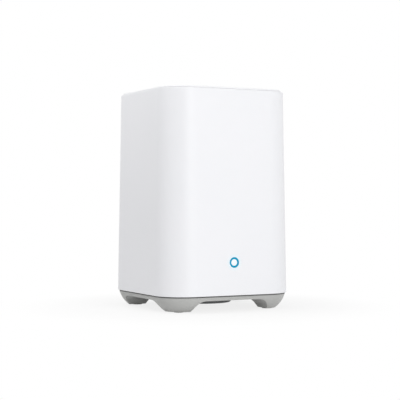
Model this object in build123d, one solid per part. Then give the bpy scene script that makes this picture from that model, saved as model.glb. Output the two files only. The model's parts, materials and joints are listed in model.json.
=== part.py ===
from build123d import *
import math
import os

# A free-standing base station for a set of home security cameras. A tall white sleeve with a
# rounded square section stands on a grey base with four feet, and a white cap closes its top.
# Behind a window in the rear wall lie the sockets and the sync button. A siren fires down
# through the base, and a battery keeps it going when the mains fails.
# X runs to the right as seen from the front, the front faces -Y and Z is up. The origin is on
# the floor at the centre of the footprint. Lengths are in millimetres, angles in degrees.

# The case
case_width = 90.0
case_depth = 90.0
sleeve_height = 126.0
sleeve_wall = 2.2
corner_radius = 19.0
draft_angle = 0.975
foot_height = 10.0
sleeve_edge_radius = 0.5
slide_gap = 0.25
overrun = 1.0

# The cap in the top of the sleeve
cap_lip = 1.1
cap_seat_depth = 2.2
cap_stand = 1.4
cap_wall = 2.0
cap_gap = 0.2
cap_edge_radius = 1.1
cap_skirt_depth = 6.0
cap_skirt_wall = 1.2
catch_length = 12.0
catch_height = 1.2
catch_reach = 0.5

# The base and its feet
seam_gap = 0.6
base_inset = 0.9
foot_inset = 6.9
skirt_bulge = 0.9
base_floor = 2.0
channel_height = 7.0
foot_length = 22.0
channel_slope_angle = 60.0
channel_corner_radius = 8.0
spigot_height = 6.4
spigot_wall = 1.6
pad_radius = 3.2
pad_thickness = 1.4
pad_stand = 0.5
pad_gap = 0.1
foot_border = 14.1
vent_length = 22.0
vent_width = 1.6
vent_pitch = 3.4
vent_border = 12.0
vent_rows = 3

# Screws: a pan head with a cross in it, and a plain shank in a hole that just clears it
base_screw_head_radius = 2.4
base_screw_head_height = 1.7
base_screw_shank_radius = 1.25
base_screw_length = 14.0
base_screw_seat = 4.0
small_screw_head_radius = 1.7
small_screw_head_height = 1.1
small_screw_shank_radius = 0.9
screw_hole_gap = 0.05
cross_width = 0.6
cross_depth_share = 0.5
cross_length_share = 1.3
hole_spare_depth = 0.6

# The sleeve's own bosses over the feet
sleeve_boss_radius = 3.2
sleeve_boss_height = 16.0
sleeve_rib_thickness = 1.4

# The rear window and the panel behind it
window_width = 30.0
window_margin = 3.5
window_radius = 4.0
window_frame = 1.6
panel_recess = 5.4
panel_thickness = 1.8
panel_side_border = 8.0
panel_end_border = 2.0
panel_radius = 3.0
panel_gap = 0.2
panel_screw_border = 4.5
panel_screw_inset = 6.0
panel_boss_radius = 2.2
panel_screw_bite = 2.4
socket_gap = 0.3

# The status light in the front wall
light_height = 20.1
light_radius = 3.2
light_band = 1.15
light_flange_radius = 4.6
light_flange_thickness = 1.0
light_hole_gap = 0.05
light_core_gap = 0.05
emitter_gap = 0.2
emitter_length = 1.4
emitter_width = 0.9
emitter_height = 0.7
emitter_count = 6
light_board_width = 14.0
light_board_length = 26.0
light_board_radius = 1.5
board_thickness = 1.6
light_screw_place = 9.8
light_boss_radius = 2.0
light_screw_bite = 2.4
light_socket_width = 4.4
light_socket_length = 5.0
light_socket_depth = 2.4

# The siren under the middle of the base
siren_radius = 19.3
siren_bottom = 3.0
siren_wall = 1.6
siren_floor = 1.2
siren_step_border = 2.9
siren_step_height = 1.2
siren_flange_width = 3.2
siren_flange_thickness = 1.2
siren_hole_gap = 0.2
grille_border = 5.1
grille_slot_width = 1.5
grille_pitch_share = 0.211
grille_slots = 9
gasket_thickness = 0.6
gasket_width = 1.0
driver_border = 1.9
driver_flange_thickness = 0.8
driver_rim_border = 2.0
driver_wall = 1.0
driver_neck_height = 1.4
driver_height = 5.0
yoke_radius = 8.0
yoke_wall = 1.0
yoke_height = 5.2
yoke_gap = 0.05
pole_radius = 5.6
pole_thickness = 1.0
magnet_radius = 5.4
coil_gap = 0.3
coil_thickness = 0.8
coil_height = 3.0
cone_thickness = 0.5
cone_rim_gap = 0.5
cone_rise = 1.9
cone_dip = 1.0
siren_stroke_gap = 0.5
clamp_thickness = 1.2
clamp_gap = 0.4
clamp_ear_stand = 3.5
clamp_ear_radius = 3.0
clamp_ears = 3
terminal_length = 5.0
terminal_width = 2.6
terminal_height = 1.6

# The chassis that carries the main board
post_border = 11.0
post_inset = 4.0
post_radius = 3.0
chassis_clearance = 0.9
chassis_floor = 2.0
chassis_wall = 2.0
chassis_side_border = 7.0
chassis_floor_border = 5.0
chassis_corner_radius = 4.0
chassis_front_border = 2.0
chassis_rear_border = 3.2
chassis_top_border = 1.5
chassis_screw_length = 8.0
gusset_size = 10.0
gusset_inset = 0.5
standoff_length = 4.65
standoff_radius = 2.6
chassis_window_radius = 2.0
chassis_window_border = 8.0
chassis_window_gap = 2.0
chassis_window_drop = 7.0

# The main board and what is soldered to it
board_face = -6.75
board_front_border = 13.0
board_rear_gap = 0.6
board_top_border = 22.0
board_radius = 2.0
board_lift = 0.5
board_screw_border = 5.0
board_low_screw_y = 12.0
board_high_screw_border = 10.7
board_screw_bite = 3.2
port_gap = 2.2
port_first_gap = 0.5

# Power socket: a round jack with a centre pin
power_width = 9.0
power_height = 11.0
power_depth = 13.8
power_axis_height = 6.5
power_bore_radius = 3.1
power_bore_depth = 9.5
power_hole_radius = 3.7
power_pin_radius = 1.0
power_pin_length = 8.5
power_recess = 0.1

# Network socket
ethernet_width = 16.0
ethernet_height = 13.5
ethernet_depth = 21.0
ethernet_metal = 0.35
ethernet_plug_width = 11.9
ethernet_plug_height = 7.2
ethernet_plug_depth = 14.0
ethernet_plug_low = 4.4
ethernet_latch_width = 6.2
ethernet_latch_height = 1.7
ethernet_key_width = 3.4
ethernet_key_height = 1.2
ethernet_proud = 0.3
contact_count = 8
contact_pitch = 1.02
contact_width = 0.35
contact_thickness = 0.4
contact_reach = 1.9
contact_length = 9.0
ethernet_light_length = 3.0
ethernet_light_width = 1.9
ethernet_light_depth = 3.0
ethernet_light_inset = 0.6

# Camera charging socket, standing on its side
usb_width = 13.2
usb_height = 5.7
usb_depth = 14.0
usb_metal = 0.35
usb_proud = 0.3
usb_tongue_width = 11.2
usb_tongue_thickness = 1.9
usb_tongue_length = 9.0
usb_root_length = 2.5
usb_tongue_offset = 0.95
usb_contact_width = 1.1
usb_contact_thickness = 0.2
usb_contact_pitch = 2.3
usb_contact_length = 7.0
usb_contacts_in_row = 4

# Memory card and its socket
card_width = 11.0
card_length = 15.0
card_thickness = 0.8
card_corner_radius = 0.8
card_inside = 0.5
card_gap = 0.12
card_overtravel = 0.8
card_socket_wall = 0.25
card_socket_width = 13.6
card_socket_depth = 14.6
card_slot_width = 14.4
card_slot_height = 2.6
card_slot_radius = 1.0
card_slot_drop = 0.45

# Reset switch behind its pinhole
reset_width = 6.0
reset_height = 3.5
reset_depth = 3.5
reset_plunger_radius = 0.9
reset_plunger_stand = 1.0
reset_travel = 0.25
reset_back = 3.0
pinhole_radius = 0.8
pinhole_mouth_radius = 1.5
pinhole_mouth_depth = 0.7

# Sync switch and its button
sync_width = 6.0
sync_height = 7.3
sync_depth = 3.5
sync_axis_height = 3.65
sync_plunger_radius = 1.6
sync_plunger_stand = 2.0
sync_travel = 0.3
sync_back = 4.2
plunger_gap = 0.06
plunger_root = 1.2
button_radius = 4.6
button_hole_gap = 0.2
button_inside = 0.2
button_edge_radius = 0.4
button_dish_depth = 0.35
button_dish_share = 0.72
button_flange_radius = 5.9
button_flange_thickness = 1.0
button_flange_gap = 0.2
button_stem_radius = 1.3
button_touch_gap = 0.05

# Chips, cans and power parts on the main board
processor_size = 14.0
processor_thickness = 1.2
processor_across_share = 0.434
processor_up_share = 0.56
pad_sheet_thickness = 0.8
heat_sink_width = 30.0
heat_sink_length_share = 0.32
heat_sink_plate = 1.6
fin_height = 7.0
fin_thickness = 1.2
fin_pitch = 3.6
fin_count = 8
memory_width = 9.0
memory_length_share = 0.14
memory_thickness = 1.0
memory_border = 8.5
memory_low_share = 0.495
memory_pitch_share = 0.172
shield_length_share = 0.161
shield_height = 2.4
shield_wall = 0.3
shield_gap = 8.0
shield_border = 8.0
shield_top_border = 5.0
transformer_width = 12.0
transformer_length = 15.0
transformer_height = 5.4
transformer_gap = 2.5
inductor_size = 7.0
inductor_height = 4.0
inductor_y = 3.5
capacitor_radius = 3.0
capacitor_height = 7.5
capacitor_y = -5.5
capacitor_pitch = 7.4
capacitor_count = 2
power_parts_height = 8.0
lead_socket_width = 6.0
lead_socket_length = 5.0
lead_socket_height = 4.5
lead_socket_stand = 6.0
siren_socket_height = 16.0
light_socket_share = 0.366
coax_socket_radius = 1.5
coax_socket_height = 1.6
coax_socket_border = 2.4

# Battery on the other side of the chassis
battery_border = 9.8
battery_head_room = 41.0
battery_clearance = 0.2
cradle_wall = 1.6
cradle_cover = 1.8
cradle_low = 3.5
battery_nub_radius = 2.8
battery_nub_height = 0.8
battery_contact_thickness = 0.5
battery_contact_share = 0.54
strap_width = 7.0
strap_thickness = 0.9
strap_places_share = (0.25, 0.75)
battery_socket_height = 4.0
battery_socket_width = 7.0
battery_socket_length = 5.0

# Aerials on the side walls and the leads
aerial_width = 12.0
aerial_length = 36.0
aerial_thickness = 0.8
aerial_drop = 34.0
aerial_tab_size = 3.0
aerial_tab_thickness = 1.4
aerial_lead_radius = 0.55
lead_radius = 0.8
battery_lead_radius = 0.6
arc_share = 0.48
end_arc_share = 0.85

# What follows from the sizes above
draft_slope = math.tan(math.radians(draft_angle))
sleeve_top = foot_height + sleeve_height
base_floor_top = channel_height + base_floor
base_rim = foot_height - seam_gap
spigot_top = base_rim + spigot_height
foot_bottom = pad_stand
full_turn = 360.0
quarter_turn = 90.0


def span(centre, size):
    """The two ends of a length set about its middle."""
    return (centre - size / 2, centre + size / 2)


def middle(ends):
    """The middle of a span."""
    return (ends[0] + ends[1]) / 2


def length_of(ends):
    """The length of a span."""
    return ends[1] - ends[0]


def block(x_ends, y_ends, z_ends):
    """A box between two ends on each axis."""
    box = Box(length_of(x_ends), length_of(y_ends), length_of(z_ends))
    return Pos(middle(x_ends), middle(y_ends), middle(z_ends)) * box


def rod_x(radius, x_ends, y, z):
    """A round rod along X."""
    return Pos(middle(x_ends), y, z) * Rot(0, quarter_turn, 0) * Cylinder(radius, length_of(x_ends))


def rod_y(radius, x, y_ends, z):
    """A round rod along Y."""
    return Pos(x, middle(y_ends), z) * Rot(quarter_turn, 0, 0) * Cylinder(radius, length_of(y_ends))


def rod_z(radius, x, y, z_ends):
    """A round rod along Z."""
    return Pos(x, y, middle(z_ends)) * Cylinder(radius, length_of(z_ends))


def slab_x(x_ends, y_ends, z_ends, radius):
    """A plate square to X whose outline has round corners."""
    outline = RectangleRounded(length_of(z_ends), length_of(y_ends), radius)
    turned = Rot(0, quarter_turn, 0) * extrude(outline, length_of(x_ends))
    return Pos(x_ends[0], middle(y_ends), middle(z_ends)) * turned


def slab_y(x_ends, y_ends, z_ends, radius):
    """A plate square to Y whose outline has round corners."""
    outline = RectangleRounded(length_of(x_ends), length_of(z_ends), radius)
    turned = Rot(quarter_turn, 0, 0) * extrude(outline, length_of(y_ends))
    return Pos(middle(x_ends), y_ends[1], middle(z_ends)) * turned


def slab_z(x_ends, y_ends, z_ends, radius):
    """A plate square to Z whose outline has round corners."""
    outline = RectangleRounded(length_of(x_ends), length_of(y_ends), radius)
    return Pos(middle(x_ends), middle(y_ends), z_ends[0]) * extrude(outline, length_of(z_ends))


def turned(points):
    """A ring or disc made by turning an outline of (radius, height) points about Z."""
    outline = make_face(Polyline(*[(radius, 0, height) for radius, height in points], close=True))
    return revolve(outline, Axis.Z)


def half_width(z, inset):
    """Half the sleeve's outer width at a height, drawn in by an inset: the walls lean inwards."""
    return case_width / 2 - inset - (z - foot_height) * draft_slope


def half_depth(z, inset):
    """Half the sleeve's outer depth at a height, drawn in by an inset."""
    return case_depth / 2 - inset - (z - foot_height) * draft_slope


def tapered_block(low, high, inset):
    """A solid that follows the sleeve's leaning outer surface, drawn in by an inset."""
    sections = []
    for z in (low, high):
        radius = corner_radius - inset - (z - foot_height) * draft_slope
        outline = RectangleRounded(2 * half_width(z, inset), 2 * half_depth(z, inset), radius)
        sections.append(Pos(0, 0, z) * outline)
    return loft(sections, ruled=True)


def wall_plane(side, z):
    """A plane on the sleeve's leaning outer surface at a height, with its z axis facing outwards.

    side is front, left or right. The plane's x axis is level and its y axis climbs the wall."""
    lean = math.radians(draft_angle)
    up = math.sin(lean)
    out = math.cos(lean)
    if side == "front":
        return Plane((0, -half_depth(z, 0), z), x_dir=(1, 0, 0), z_dir=(0, -out, up))
    sign = 1 if side == "right" else -1
    return Plane((sign * half_width(z, 0), 0, z), x_dir=(0, sign, 0), z_dir=(sign * out, 0, up))


def pan_screw(head_radius, head_height, shank_radius, length):
    """A screw pointing down, with the underside of its head at the origin."""
    head = Pos(0, 0, head_height / 2) * Cylinder(head_radius, head_height)
    head = fillet(head.edges().group_by(Axis.Z)[-1], head_height / 3)
    depth = cross_depth_share * head_height
    arm = Box(cross_length_share * head_radius, cross_width, 2 * depth)
    cross = Pos(0, 0, head_height) * (arm + Rot(0, 0, quarter_turn) * arm)
    shank = Pos(0, 0, -length / 2) * Cylinder(shank_radius, length)
    return (head + shank) - cross


def small_screw(length):
    """The small screw that holds boards, panel and siren."""
    return pan_screw(small_screw_head_radius, small_screw_head_height, small_screw_shank_radius, length)


def small_pilot(depth):
    """The hole that a small screw goes into, running down from the origin."""
    radius = small_screw_shank_radius + screw_hole_gap
    return Pos(0, 0, -depth / 2) * Cylinder(radius, depth)


def lead(points, radius):
    """A round lead along a route, with each bend as large as its two runs allow."""
    corners = [Vector(*point) for point in points]
    runs = [after - before for before, after in zip(corners, corners[1:])]
    room = [arc_share * run.length for run in runs]
    room[0] = end_arc_share * runs[0].length
    room[-1] = end_arc_share * runs[-1].length
    radii = []
    for n in range(len(runs) - 1):
        half_bend = math.radians(runs[n].get_angle(runs[n + 1])) / 2
        radii.append(min(room[n], room[n + 1]) / math.tan(half_bend))
    path = FilletPolyline(*corners, radius=radii)
    section = Plane(origin=path @ 0, z_dir=path % 0) * Circle(radius)
    made = sweep(section, path=path)
    worked_out = math.pi * radius**2 * path.length
    print("lead of", round(path.length, 1), "mm, bends", [round(r, 1) for r in radii],
          "volume share", round(made.volume / worked_out, 3))
    return made


# Places of the parts on the main board, stacked up the rear edge
siren_floor_top = siren_bottom + siren_floor
siren_step_radius = siren_radius - siren_step_border
siren_flange_radius = siren_radius + siren_flange_width
grille_radius = siren_radius - grille_border
grille_pitch = grille_pitch_share * grille_radius
driver_radius = siren_radius - driver_border
driver_rim_radius = driver_radius - driver_rim_border
clamp_ear_place = siren_flange_radius + clamp_ear_stand
driver_seat = base_floor_top + siren_flange_thickness - driver_flange_thickness - gasket_thickness
driver_low = driver_seat + gasket_thickness
driver_flange_top = driver_low + driver_flange_thickness
driver_top = driver_low + driver_height
yoke_low = driver_top - 2 * driver_wall
yoke_top = yoke_low + yoke_height
clamp_low = base_floor_top + siren_flange_thickness
clamp_top = clamp_low + clamp_thickness
chassis_low = yoke_top + chassis_clearance
chassis_top = chassis_low + chassis_floor
board_low = chassis_top + board_lift
board_top = sleeve_top - board_top_border
board_height = board_top - board_low
board_back = board_face - board_thickness
panel_place = case_depth / 2 - panel_recess
panel_inside = panel_place - panel_thickness
board_front = case_depth / 2 - board_front_border
board_rear = panel_inside - board_rear_gap
board_width = board_front + board_rear
power_z = board_low + port_first_gap + power_width / 2
ethernet_z = power_z + power_width / 2 + port_gap + ethernet_width / 2
usb_z = ethernet_z + ethernet_width / 2 + port_gap + usb_height / 2
card_z = usb_z + usb_height / 2 + port_gap + card_socket_width / 2
reset_z = card_z + card_socket_width / 2 + port_gap + reset_width / 2
sync_z = reset_z + reset_width / 2 + port_gap + sync_width / 2
window_low = power_z - power_width / 2 - window_margin
window_high = sync_z + button_radius + window_margin
window_ends = (window_low, window_high)
light_z = foot_height + light_height
light_plane = wall_plane("front", light_z)
light_inner_radius = light_radius - light_band
light_board_front = sleeve_wall + light_flange_thickness + emitter_gap + emitter_height
chassis_plate_x = board_back - standoff_length
chassis_plate_ends = (chassis_front_border - board_front, board_rear - chassis_rear_border)
chassis_plate_top = board_top - chassis_top_border
cradle_ends = (chassis_top + cradle_low, sleeve_top - battery_head_room)
cradle_end_depth = cradle_wall + battery_contact_thickness
battery_ends = (cradle_ends[0] + cradle_end_depth, cradle_ends[1] - cradle_end_depth - battery_nub_height)
battery_length = length_of(battery_ends)
cradle_pocket_start = chassis_plate_x - chassis_wall - cradle_wall - battery_clearance
battery_radius = length_of((battery_border - case_width / 2, cradle_pocket_start)) / 2
battery_x = cradle_pocket_start - battery_radius
cradle_half_width = battery_radius + battery_clearance + cradle_wall
chassis_floor_half = cradle_half_width + chassis_floor_border
foot_x = case_width / 2 - foot_border
foot_y = case_depth / 2 - foot_border
foot_places = [(sx * foot_x, sy * foot_y) for sx in (-1, 1) for sy in (-1, 1)]
post_x = case_width / 2 - post_border
post_y = chassis_floor_half - post_inset
post_places = [(sx * post_x, sy * post_y) for sx in (-1, 1) for sy in (-1, 1)]
vent_y = case_depth / 2 - vent_border
clamp_ear_angles = [full_turn * n / clamp_ears for n in range(clamp_ears)]
clamp_ear_places = [
    (clamp_ear_place * math.cos(math.radians(a)), clamp_ear_place * math.sin(math.radians(a)))
    for a in clamp_ear_angles
]
board_screw_places = [
    (board_screw_border - board_front, board_low + board_screw_border),
    (board_low_screw_y, board_low + board_screw_border),
    (board_screw_border - board_front, board_top - board_screw_border),
    (board_rear - board_high_screw_border, board_top - board_screw_border),
]
panel_screw_places = [
    (sx * (window_width / 2 + panel_screw_border), z)
    for sx in (-1, 1)
    for z in (window_low + panel_screw_inset, window_high - panel_screw_inset)
]
light_screw_places = [(0, -light_screw_place), (0, light_screw_place)]
lead_x = board_face + lead_socket_height / 2
sync_face = board_rear - sync_back
reset_face = board_rear - reset_back
lead_socket_y = -chassis_floor_half - lead_socket_stand
processor_y = processor_across_share * board_width - board_front
processor_z = board_low + processor_up_share * board_height
heat_sink_length = heat_sink_length_share * board_height
memory_length = memory_length_share * board_height
shield_reach = board_front - shield_border
shield_width = shield_reach - shield_gap / 2
shield_length = shield_length_share * board_height
shield_y = shield_reach - shield_width / 2
shield_z = board_top - shield_top_border - shield_length / 2
coax_z = board_top - coax_socket_border
coax_places = {"left": (shield_y, coax_z), "right": (-shield_y, coax_z)}
siren_socket_z = board_low + siren_socket_height
light_socket_z = board_low + light_socket_share * board_height
chassis_window_ends = (
    cradle_ends[1] + chassis_window_gap,
    chassis_plate_top - chassis_window_drop,
)
battery_socket_z = middle(chassis_window_ends)
aerial_z = sleeve_top - aerial_drop
coil_ends = (yoke_low - siren_stroke_gap, yoke_low - siren_stroke_gap + coil_height)
card_x_ends = (board_face + card_slot_drop, board_face + card_slot_drop + card_thickness)
card_y_ends = (panel_place - card_inside - card_length, panel_place - card_inside)


def catches(inset, grow):
    """Four bars round the cap's skirt, one in the middle of each side."""
    z = sleeve_top - cap_seat_depth - cap_skirt_depth / 2
    low_high = span(z, catch_height + 2 * grow)
    reach = catch_reach + grow
    bars = []
    for sign in (-1, 1):
        x = sign * half_width(z, inset)
        y = sign * half_depth(z, inset)
        bars.append(block(span(x, 2 * reach), span(0, catch_length + 2 * grow), low_high))
        bars.append(block(span(0, catch_length + 2 * grow), span(y, 2 * reach), low_high))
    return bars


def outer_shell():
    """The white sleeve: four leaning walls, a seat for the cap, the rear window and the bosses."""
    shell = tapered_block(foot_height, sleeve_top, 0)
    shell = fillet(shell.edges().group_by(Axis.Z)[-1], sleeve_edge_radius)
    inside = tapered_block(foot_height - overrun, sleeve_top + overrun, sleeve_wall)
    shell -= inside
    shell -= tapered_block(sleeve_top - cap_seat_depth, sleeve_top + overrun, cap_lip)
    for bar in catches(sleeve_wall, cap_gap):
        shell -= bar
    # A frame stands inwards round the rear window and meets the panel
    wall_reach = (panel_place + panel_gap, case_depth / 2 + overrun)
    frame = slab_y(
        span(0, window_width + 2 * window_frame),
        wall_reach,
        (window_low - window_frame, window_high + window_frame),
        window_radius + window_frame,
    )
    shell += frame & tapered_block(foot_height, sleeve_top, sleeve_wall / 2)
    shell -= slab_y(span(0, window_width), wall_reach, window_ends, window_radius)
    for x, z in panel_screw_places:
        boss = rod_y(panel_boss_radius, x, (panel_place, case_depth / 2), z)
        shell += boss & tapered_block(foot_height, sleeve_top, sleeve_wall / 2)
        hole = small_pilot(panel_screw_bite + hole_spare_depth / 2)
        shell -= Pos(x, panel_place, z) * Rot(-quarter_turn, 0, 0) * mirror(hole, Plane.XY)
    # Bosses over the feet, each tied to its corner by a rib above the base's spigot
    boss_top = base_floor_top + sleeve_boss_height
    boss_limit = tapered_block(base_floor_top, boss_top, sleeve_wall / 2)
    rib_ends = (spigot_top + slide_gap, boss_top)
    rib = block((0, corner_radius), span(0, sleeve_rib_thickness), rib_ends)
    for x, y in foot_places:
        boss = rod_z(sleeve_boss_radius, x, y, (base_floor_top, boss_top))
        outwards = math.degrees(math.atan2(y / foot_y, x / foot_x))
        rib_here = Pos(x, y, 0) * Rot(0, 0, outwards) * rib
        shell += (boss + rib_here) & boss_limit
        hole_top = base_screw_seat + base_screw_length + hole_spare_depth
        shell -= rod_z(base_screw_shank_radius + screw_hole_gap, x, y, (0, hole_top))
    # Bosses for the light board, and the hole that the light shows through
    for x, y in light_screw_places:
        local = Pos(x, y, -light_board_front)
        boss = Pos(0, 0, (light_board_front - sleeve_wall / 2) / 2) * Cylinder(
            light_boss_radius, light_board_front - sleeve_wall / 2
        )
        hole = small_pilot(light_screw_bite + hole_spare_depth / 2)
        shell += light_plane * local * boss
        shell -= light_plane * local * mirror(hole, Plane.XY)
    light_hole = Cylinder(light_radius + light_hole_gap, 2 * sleeve_wall + 2 * overrun)
    shell -= light_plane * light_hole
    return shell


def top_cap():
    """The white lid: a plate with a round edge, and a skirt whose catches snap into the sleeve."""
    seat = sleeve_top - cap_seat_depth
    cap_top = sleeve_top + cap_stand
    plate_inset = cap_lip + cap_gap
    plate = tapered_block(seat, cap_top, plate_inset)
    plate = fillet(plate.edges().group_by(Axis.Z)[-1], cap_edge_radius)
    skirt_inset = sleeve_wall + cap_gap
    skirt = tapered_block(seat - cap_skirt_depth, seat + overrun / 2, skirt_inset)
    hollow = tapered_block(
        seat - cap_skirt_depth - overrun, cap_top - cap_wall, skirt_inset + cap_skirt_wall
    )
    cap = plate + skirt
    for bar in catches(skirt_inset, 0):
        cap += bar
    return cap - hollow


def skirt_section():
    """The skirt's section in X and Z, from the corner's centre line out to its curved face.

    The curve is an arc that bulges outwards and down from the straight line between its ends."""
    upper = Vector(corner_radius - base_inset, 0, base_rim)
    lower = Vector(corner_radius - foot_inset, 0, foot_bottom)
    along = (upper - lower).normalized()
    outwards = Vector(along.Z, 0, -along.X)
    curve = ThreePointArc(lower, (lower + upper) / 2 + outwards * skirt_bulge, upper)
    return make_face(curve + Polyline(upper, (0, 0, base_rim), (0, 0, foot_bottom), lower))


def skirt_side(length):
    """A straight stretch of the skirt: its curved section drawn out along Y, with X outwards."""
    return extrude(skirt_section(), length / 2, both=True)


def skirt_solid():
    """The base's body before anything is cut out: sides that draw in towards the floor."""
    straight_x = case_width / 2 - corner_radius
    straight_y = case_depth / 2 - corner_radius
    body = block(span(0, 2 * straight_x), span(0, 2 * straight_y), (foot_bottom, base_rim))
    for turn in (0, 2):
        side = Pos(straight_x, 0, 0) * skirt_side(2 * straight_y)
        body += Rot(0, 0, turn * quarter_turn) * side
    for turn in (1, 3):
        side = Pos(straight_y, 0, 0) * skirt_side(2 * straight_x)
        body += Rot(0, 0, turn * quarter_turn) * side
    corner = revolve(skirt_section(), Axis.Z, quarter_turn)
    for turn, (x, y) in enumerate(((1, 1), (-1, 1), (-1, -1), (1, -1))):
        body += Pos(x * straight_x, y * straight_y, 0) * Rot(0, 0, turn * quarter_turn) * corner
    return body


def channel(length, width):
    """The space under the base between two feet, running along Y."""
    spread = channel_height / math.tan(math.radians(channel_slope_angle))
    top_half = width / 2 - foot_length
    drop = overrun
    drop_spread = spread * (1 + drop / channel_height)
    outline = Polyline(
        (-top_half, 0, channel_height),
        (top_half, 0, channel_height),
        (top_half + drop_spread, 0, -drop),
        (-top_half - drop_spread, 0, -drop),
        close=True,
    )
    prism = extrude(make_face(outline), length / 2, both=True)
    upper = prism.edges().filter_by(Axis.Y).group_by(Axis.Z)[-1]
    return fillet(upper, channel_corner_radius)


def base():
    """The grey base: four feet, channels between them, posts, a spigot and the siren's hole."""
    body = skirt_solid()
    body += tapered_block(base_floor_top, spigot_top, sleeve_wall + slide_gap)
    body -= tapered_block(
        base_floor_top, spigot_top + overrun, sleeve_wall + slide_gap + spigot_wall
    )
    body -= channel(case_depth + overrun, case_width)
    body -= Rot(0, 0, quarter_turn) * channel(case_width + overrun, case_depth)
    for x, y in post_places:
        body += rod_z(post_radius, x, y, (base_floor_top - base_floor / 2, chassis_low))
        hole_low = chassis_top - chassis_screw_length - hole_spare_depth
        body -= rod_z(
            small_screw_shank_radius + screw_hole_gap, x, y, (hole_low, chassis_low + overrun)
        )
    for x, y in clamp_ear_places:
        body += rod_z(clamp_ear_radius, x, y, (base_floor_top - base_floor / 2, clamp_low))
        depth = siren_flange_thickness + base_floor / 2 + hole_spare_depth / 2
        body -= Pos(x, y, clamp_low) * small_pilot(depth)
    siren_hole = siren_radius + siren_hole_gap
    body -= rod_z(siren_hole, 0, 0, (-overrun, base_floor_top + overrun))
    for x, y in foot_places:
        pad_recess = pad_radius + pad_gap
        body -= rod_z(pad_recess, x, y, (-overrun, pad_thickness))
        head_room = base_screw_head_radius + pad_gap
        body -= rod_z(head_room, x, y, (0, base_screw_seat))
        body -= rod_z(base_screw_shank_radius + screw_hole_gap, x, y, (0, spigot_top))
    slot = extrude(SlotOverall(vent_length, vent_width), base_floor + 2 * overrun)
    for side in (-1, 1):
        for row in range(vent_rows):
            y = vent_y + (row - (vent_rows - 1) / 2) * vent_pitch
            body -= Pos(0, side * y, channel_height - overrun) * slot
    return body


def foot_pads():
    """Four rubber pads, each in a round recess that hides a screw."""
    pads = []
    for x, y in foot_places:
        pad = rod_z(pad_radius, x, y, (0, pad_thickness))
        pads.append(chamfer(pad.edges().group_by(Axis.Z)[0], pad_stand / 3))
    return pads


def base_screws():
    """Four screws that go up through the feet into the sleeve's bosses."""
    screw = pan_screw(
        base_screw_head_radius, base_screw_head_height, base_screw_shank_radius, base_screw_length
    )
    return [Pos(x, y, base_screw_seat) * mirror(screw, Plane.XY) for x, y in foot_places]


def connector_hole(x_ends, z_ends):
    """A square hole through the panel, a little larger than the connector that fills it."""
    wide = (x_ends[0] - socket_gap, x_ends[1] + socket_gap)
    tall = (z_ends[0] - socket_gap, z_ends[1] + socket_gap)
    return slab_y(wide, (panel_inside - overrun, panel_place + overrun), tall, socket_gap)


def port_panel():
    """The grey plate behind the rear window, with a hole for each socket and button."""
    edge = window_width / 2 + panel_side_border
    panel = slab_y(
        (-edge, edge),
        (panel_inside, panel_place),
        (window_low - panel_end_border, window_high + panel_end_border),
        panel_radius,
    )
    through = (panel_inside - overrun, panel_place + overrun)
    ethernet_x = (board_face, board_face + ethernet_height)
    panel -= connector_hole(ethernet_x, span(ethernet_z, ethernet_width))
    usb_x = (board_face, board_face + usb_width)
    panel -= connector_hole(usb_x, span(usb_z, usb_height))
    panel -= rod_y(power_hole_radius, board_face + power_axis_height, through, power_z)
    card_slot_x = span(middle(card_x_ends), card_slot_height)
    panel -= slab_y(card_slot_x, through, span(card_z, card_slot_width), card_slot_radius)
    panel -= rod_y(pinhole_radius, board_face + reset_height / 2, through, reset_z)
    mouth = Cone(
        pinhole_radius, pinhole_mouth_radius, pinhole_mouth_depth,
        align=(Align.CENTER, Align.CENTER, Align.MAX),
    )
    mouth_place = Pos(board_face + reset_height / 2, panel_place, reset_z)
    panel -= mouth_place * Rot(-quarter_turn, 0, 0) * mouth
    panel -= rod_y(button_radius + button_hole_gap, 0, through, sync_z)
    for x, z in panel_screw_places:
        panel -= rod_y(small_screw_shank_radius + screw_hole_gap, x, through, z)
    return panel


def panel_screws():
    """Four screws that hold the panel to the sleeve from inside."""
    screw = small_screw(panel_thickness + panel_screw_bite)
    facing = Rot(quarter_turn, 0, 0)
    return [Pos(x, panel_inside, z) * facing * screw for x, z in panel_screw_places]


def status_light_guide():
    """The clear ring that glows in the front wall, with a flange behind the wall."""
    depth = sleeve_wall + light_flange_thickness
    tube = Pos(0, 0, -depth / 2) * Cylinder(light_radius, depth)
    flange = Pos(0, 0, -sleeve_wall - light_flange_thickness / 2) * Cylinder(
        light_flange_radius, light_flange_thickness
    )
    bore = Cylinder(light_inner_radius, 2 * depth + 2 * overrun)
    return light_plane * (tube + flange - bore)


def status_light_core():
    """The white plug that fills the ring, so that only a thin circle glows."""
    depth = sleeve_wall + light_flange_thickness
    return light_plane * Pos(0, 0, -depth / 2) * Cylinder(light_inner_radius - light_core_gap, depth)


def light_board():
    """The small circuit board behind the front light."""
    blank = extrude(
        RectangleRounded(light_board_width, light_board_length, light_board_radius), -board_thickness
    )
    for x, y in light_screw_places:
        hole = Cylinder(small_screw_shank_radius + screw_hole_gap, 2 * board_thickness + overrun)
        blank -= Pos(x, y, 0) * hole
    return light_plane * Pos(0, 0, -light_board_front) * blank


def light_emitters():
    """Lamps set in a circle on the light board, under the ring, each a small block."""
    circle = (light_radius + light_inner_radius) / 2
    made = []
    for n in range(emitter_count):
        local = Rot(0, 0, full_turn * n / emitter_count) * Pos(
            circle, 0, -light_board_front + emitter_height / 2
        )
        made.append(light_plane * local * Box(emitter_width, emitter_length, emitter_height))
    return made


def light_board_screws():
    """Two screws that hold the light board to the sleeve's front bosses."""
    screw = small_screw(board_thickness + light_screw_bite)
    back = -light_board_front - board_thickness
    return [light_plane * Pos(x, y, back) * mirror(screw, Plane.XY) for x, y in light_screw_places]


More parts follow.
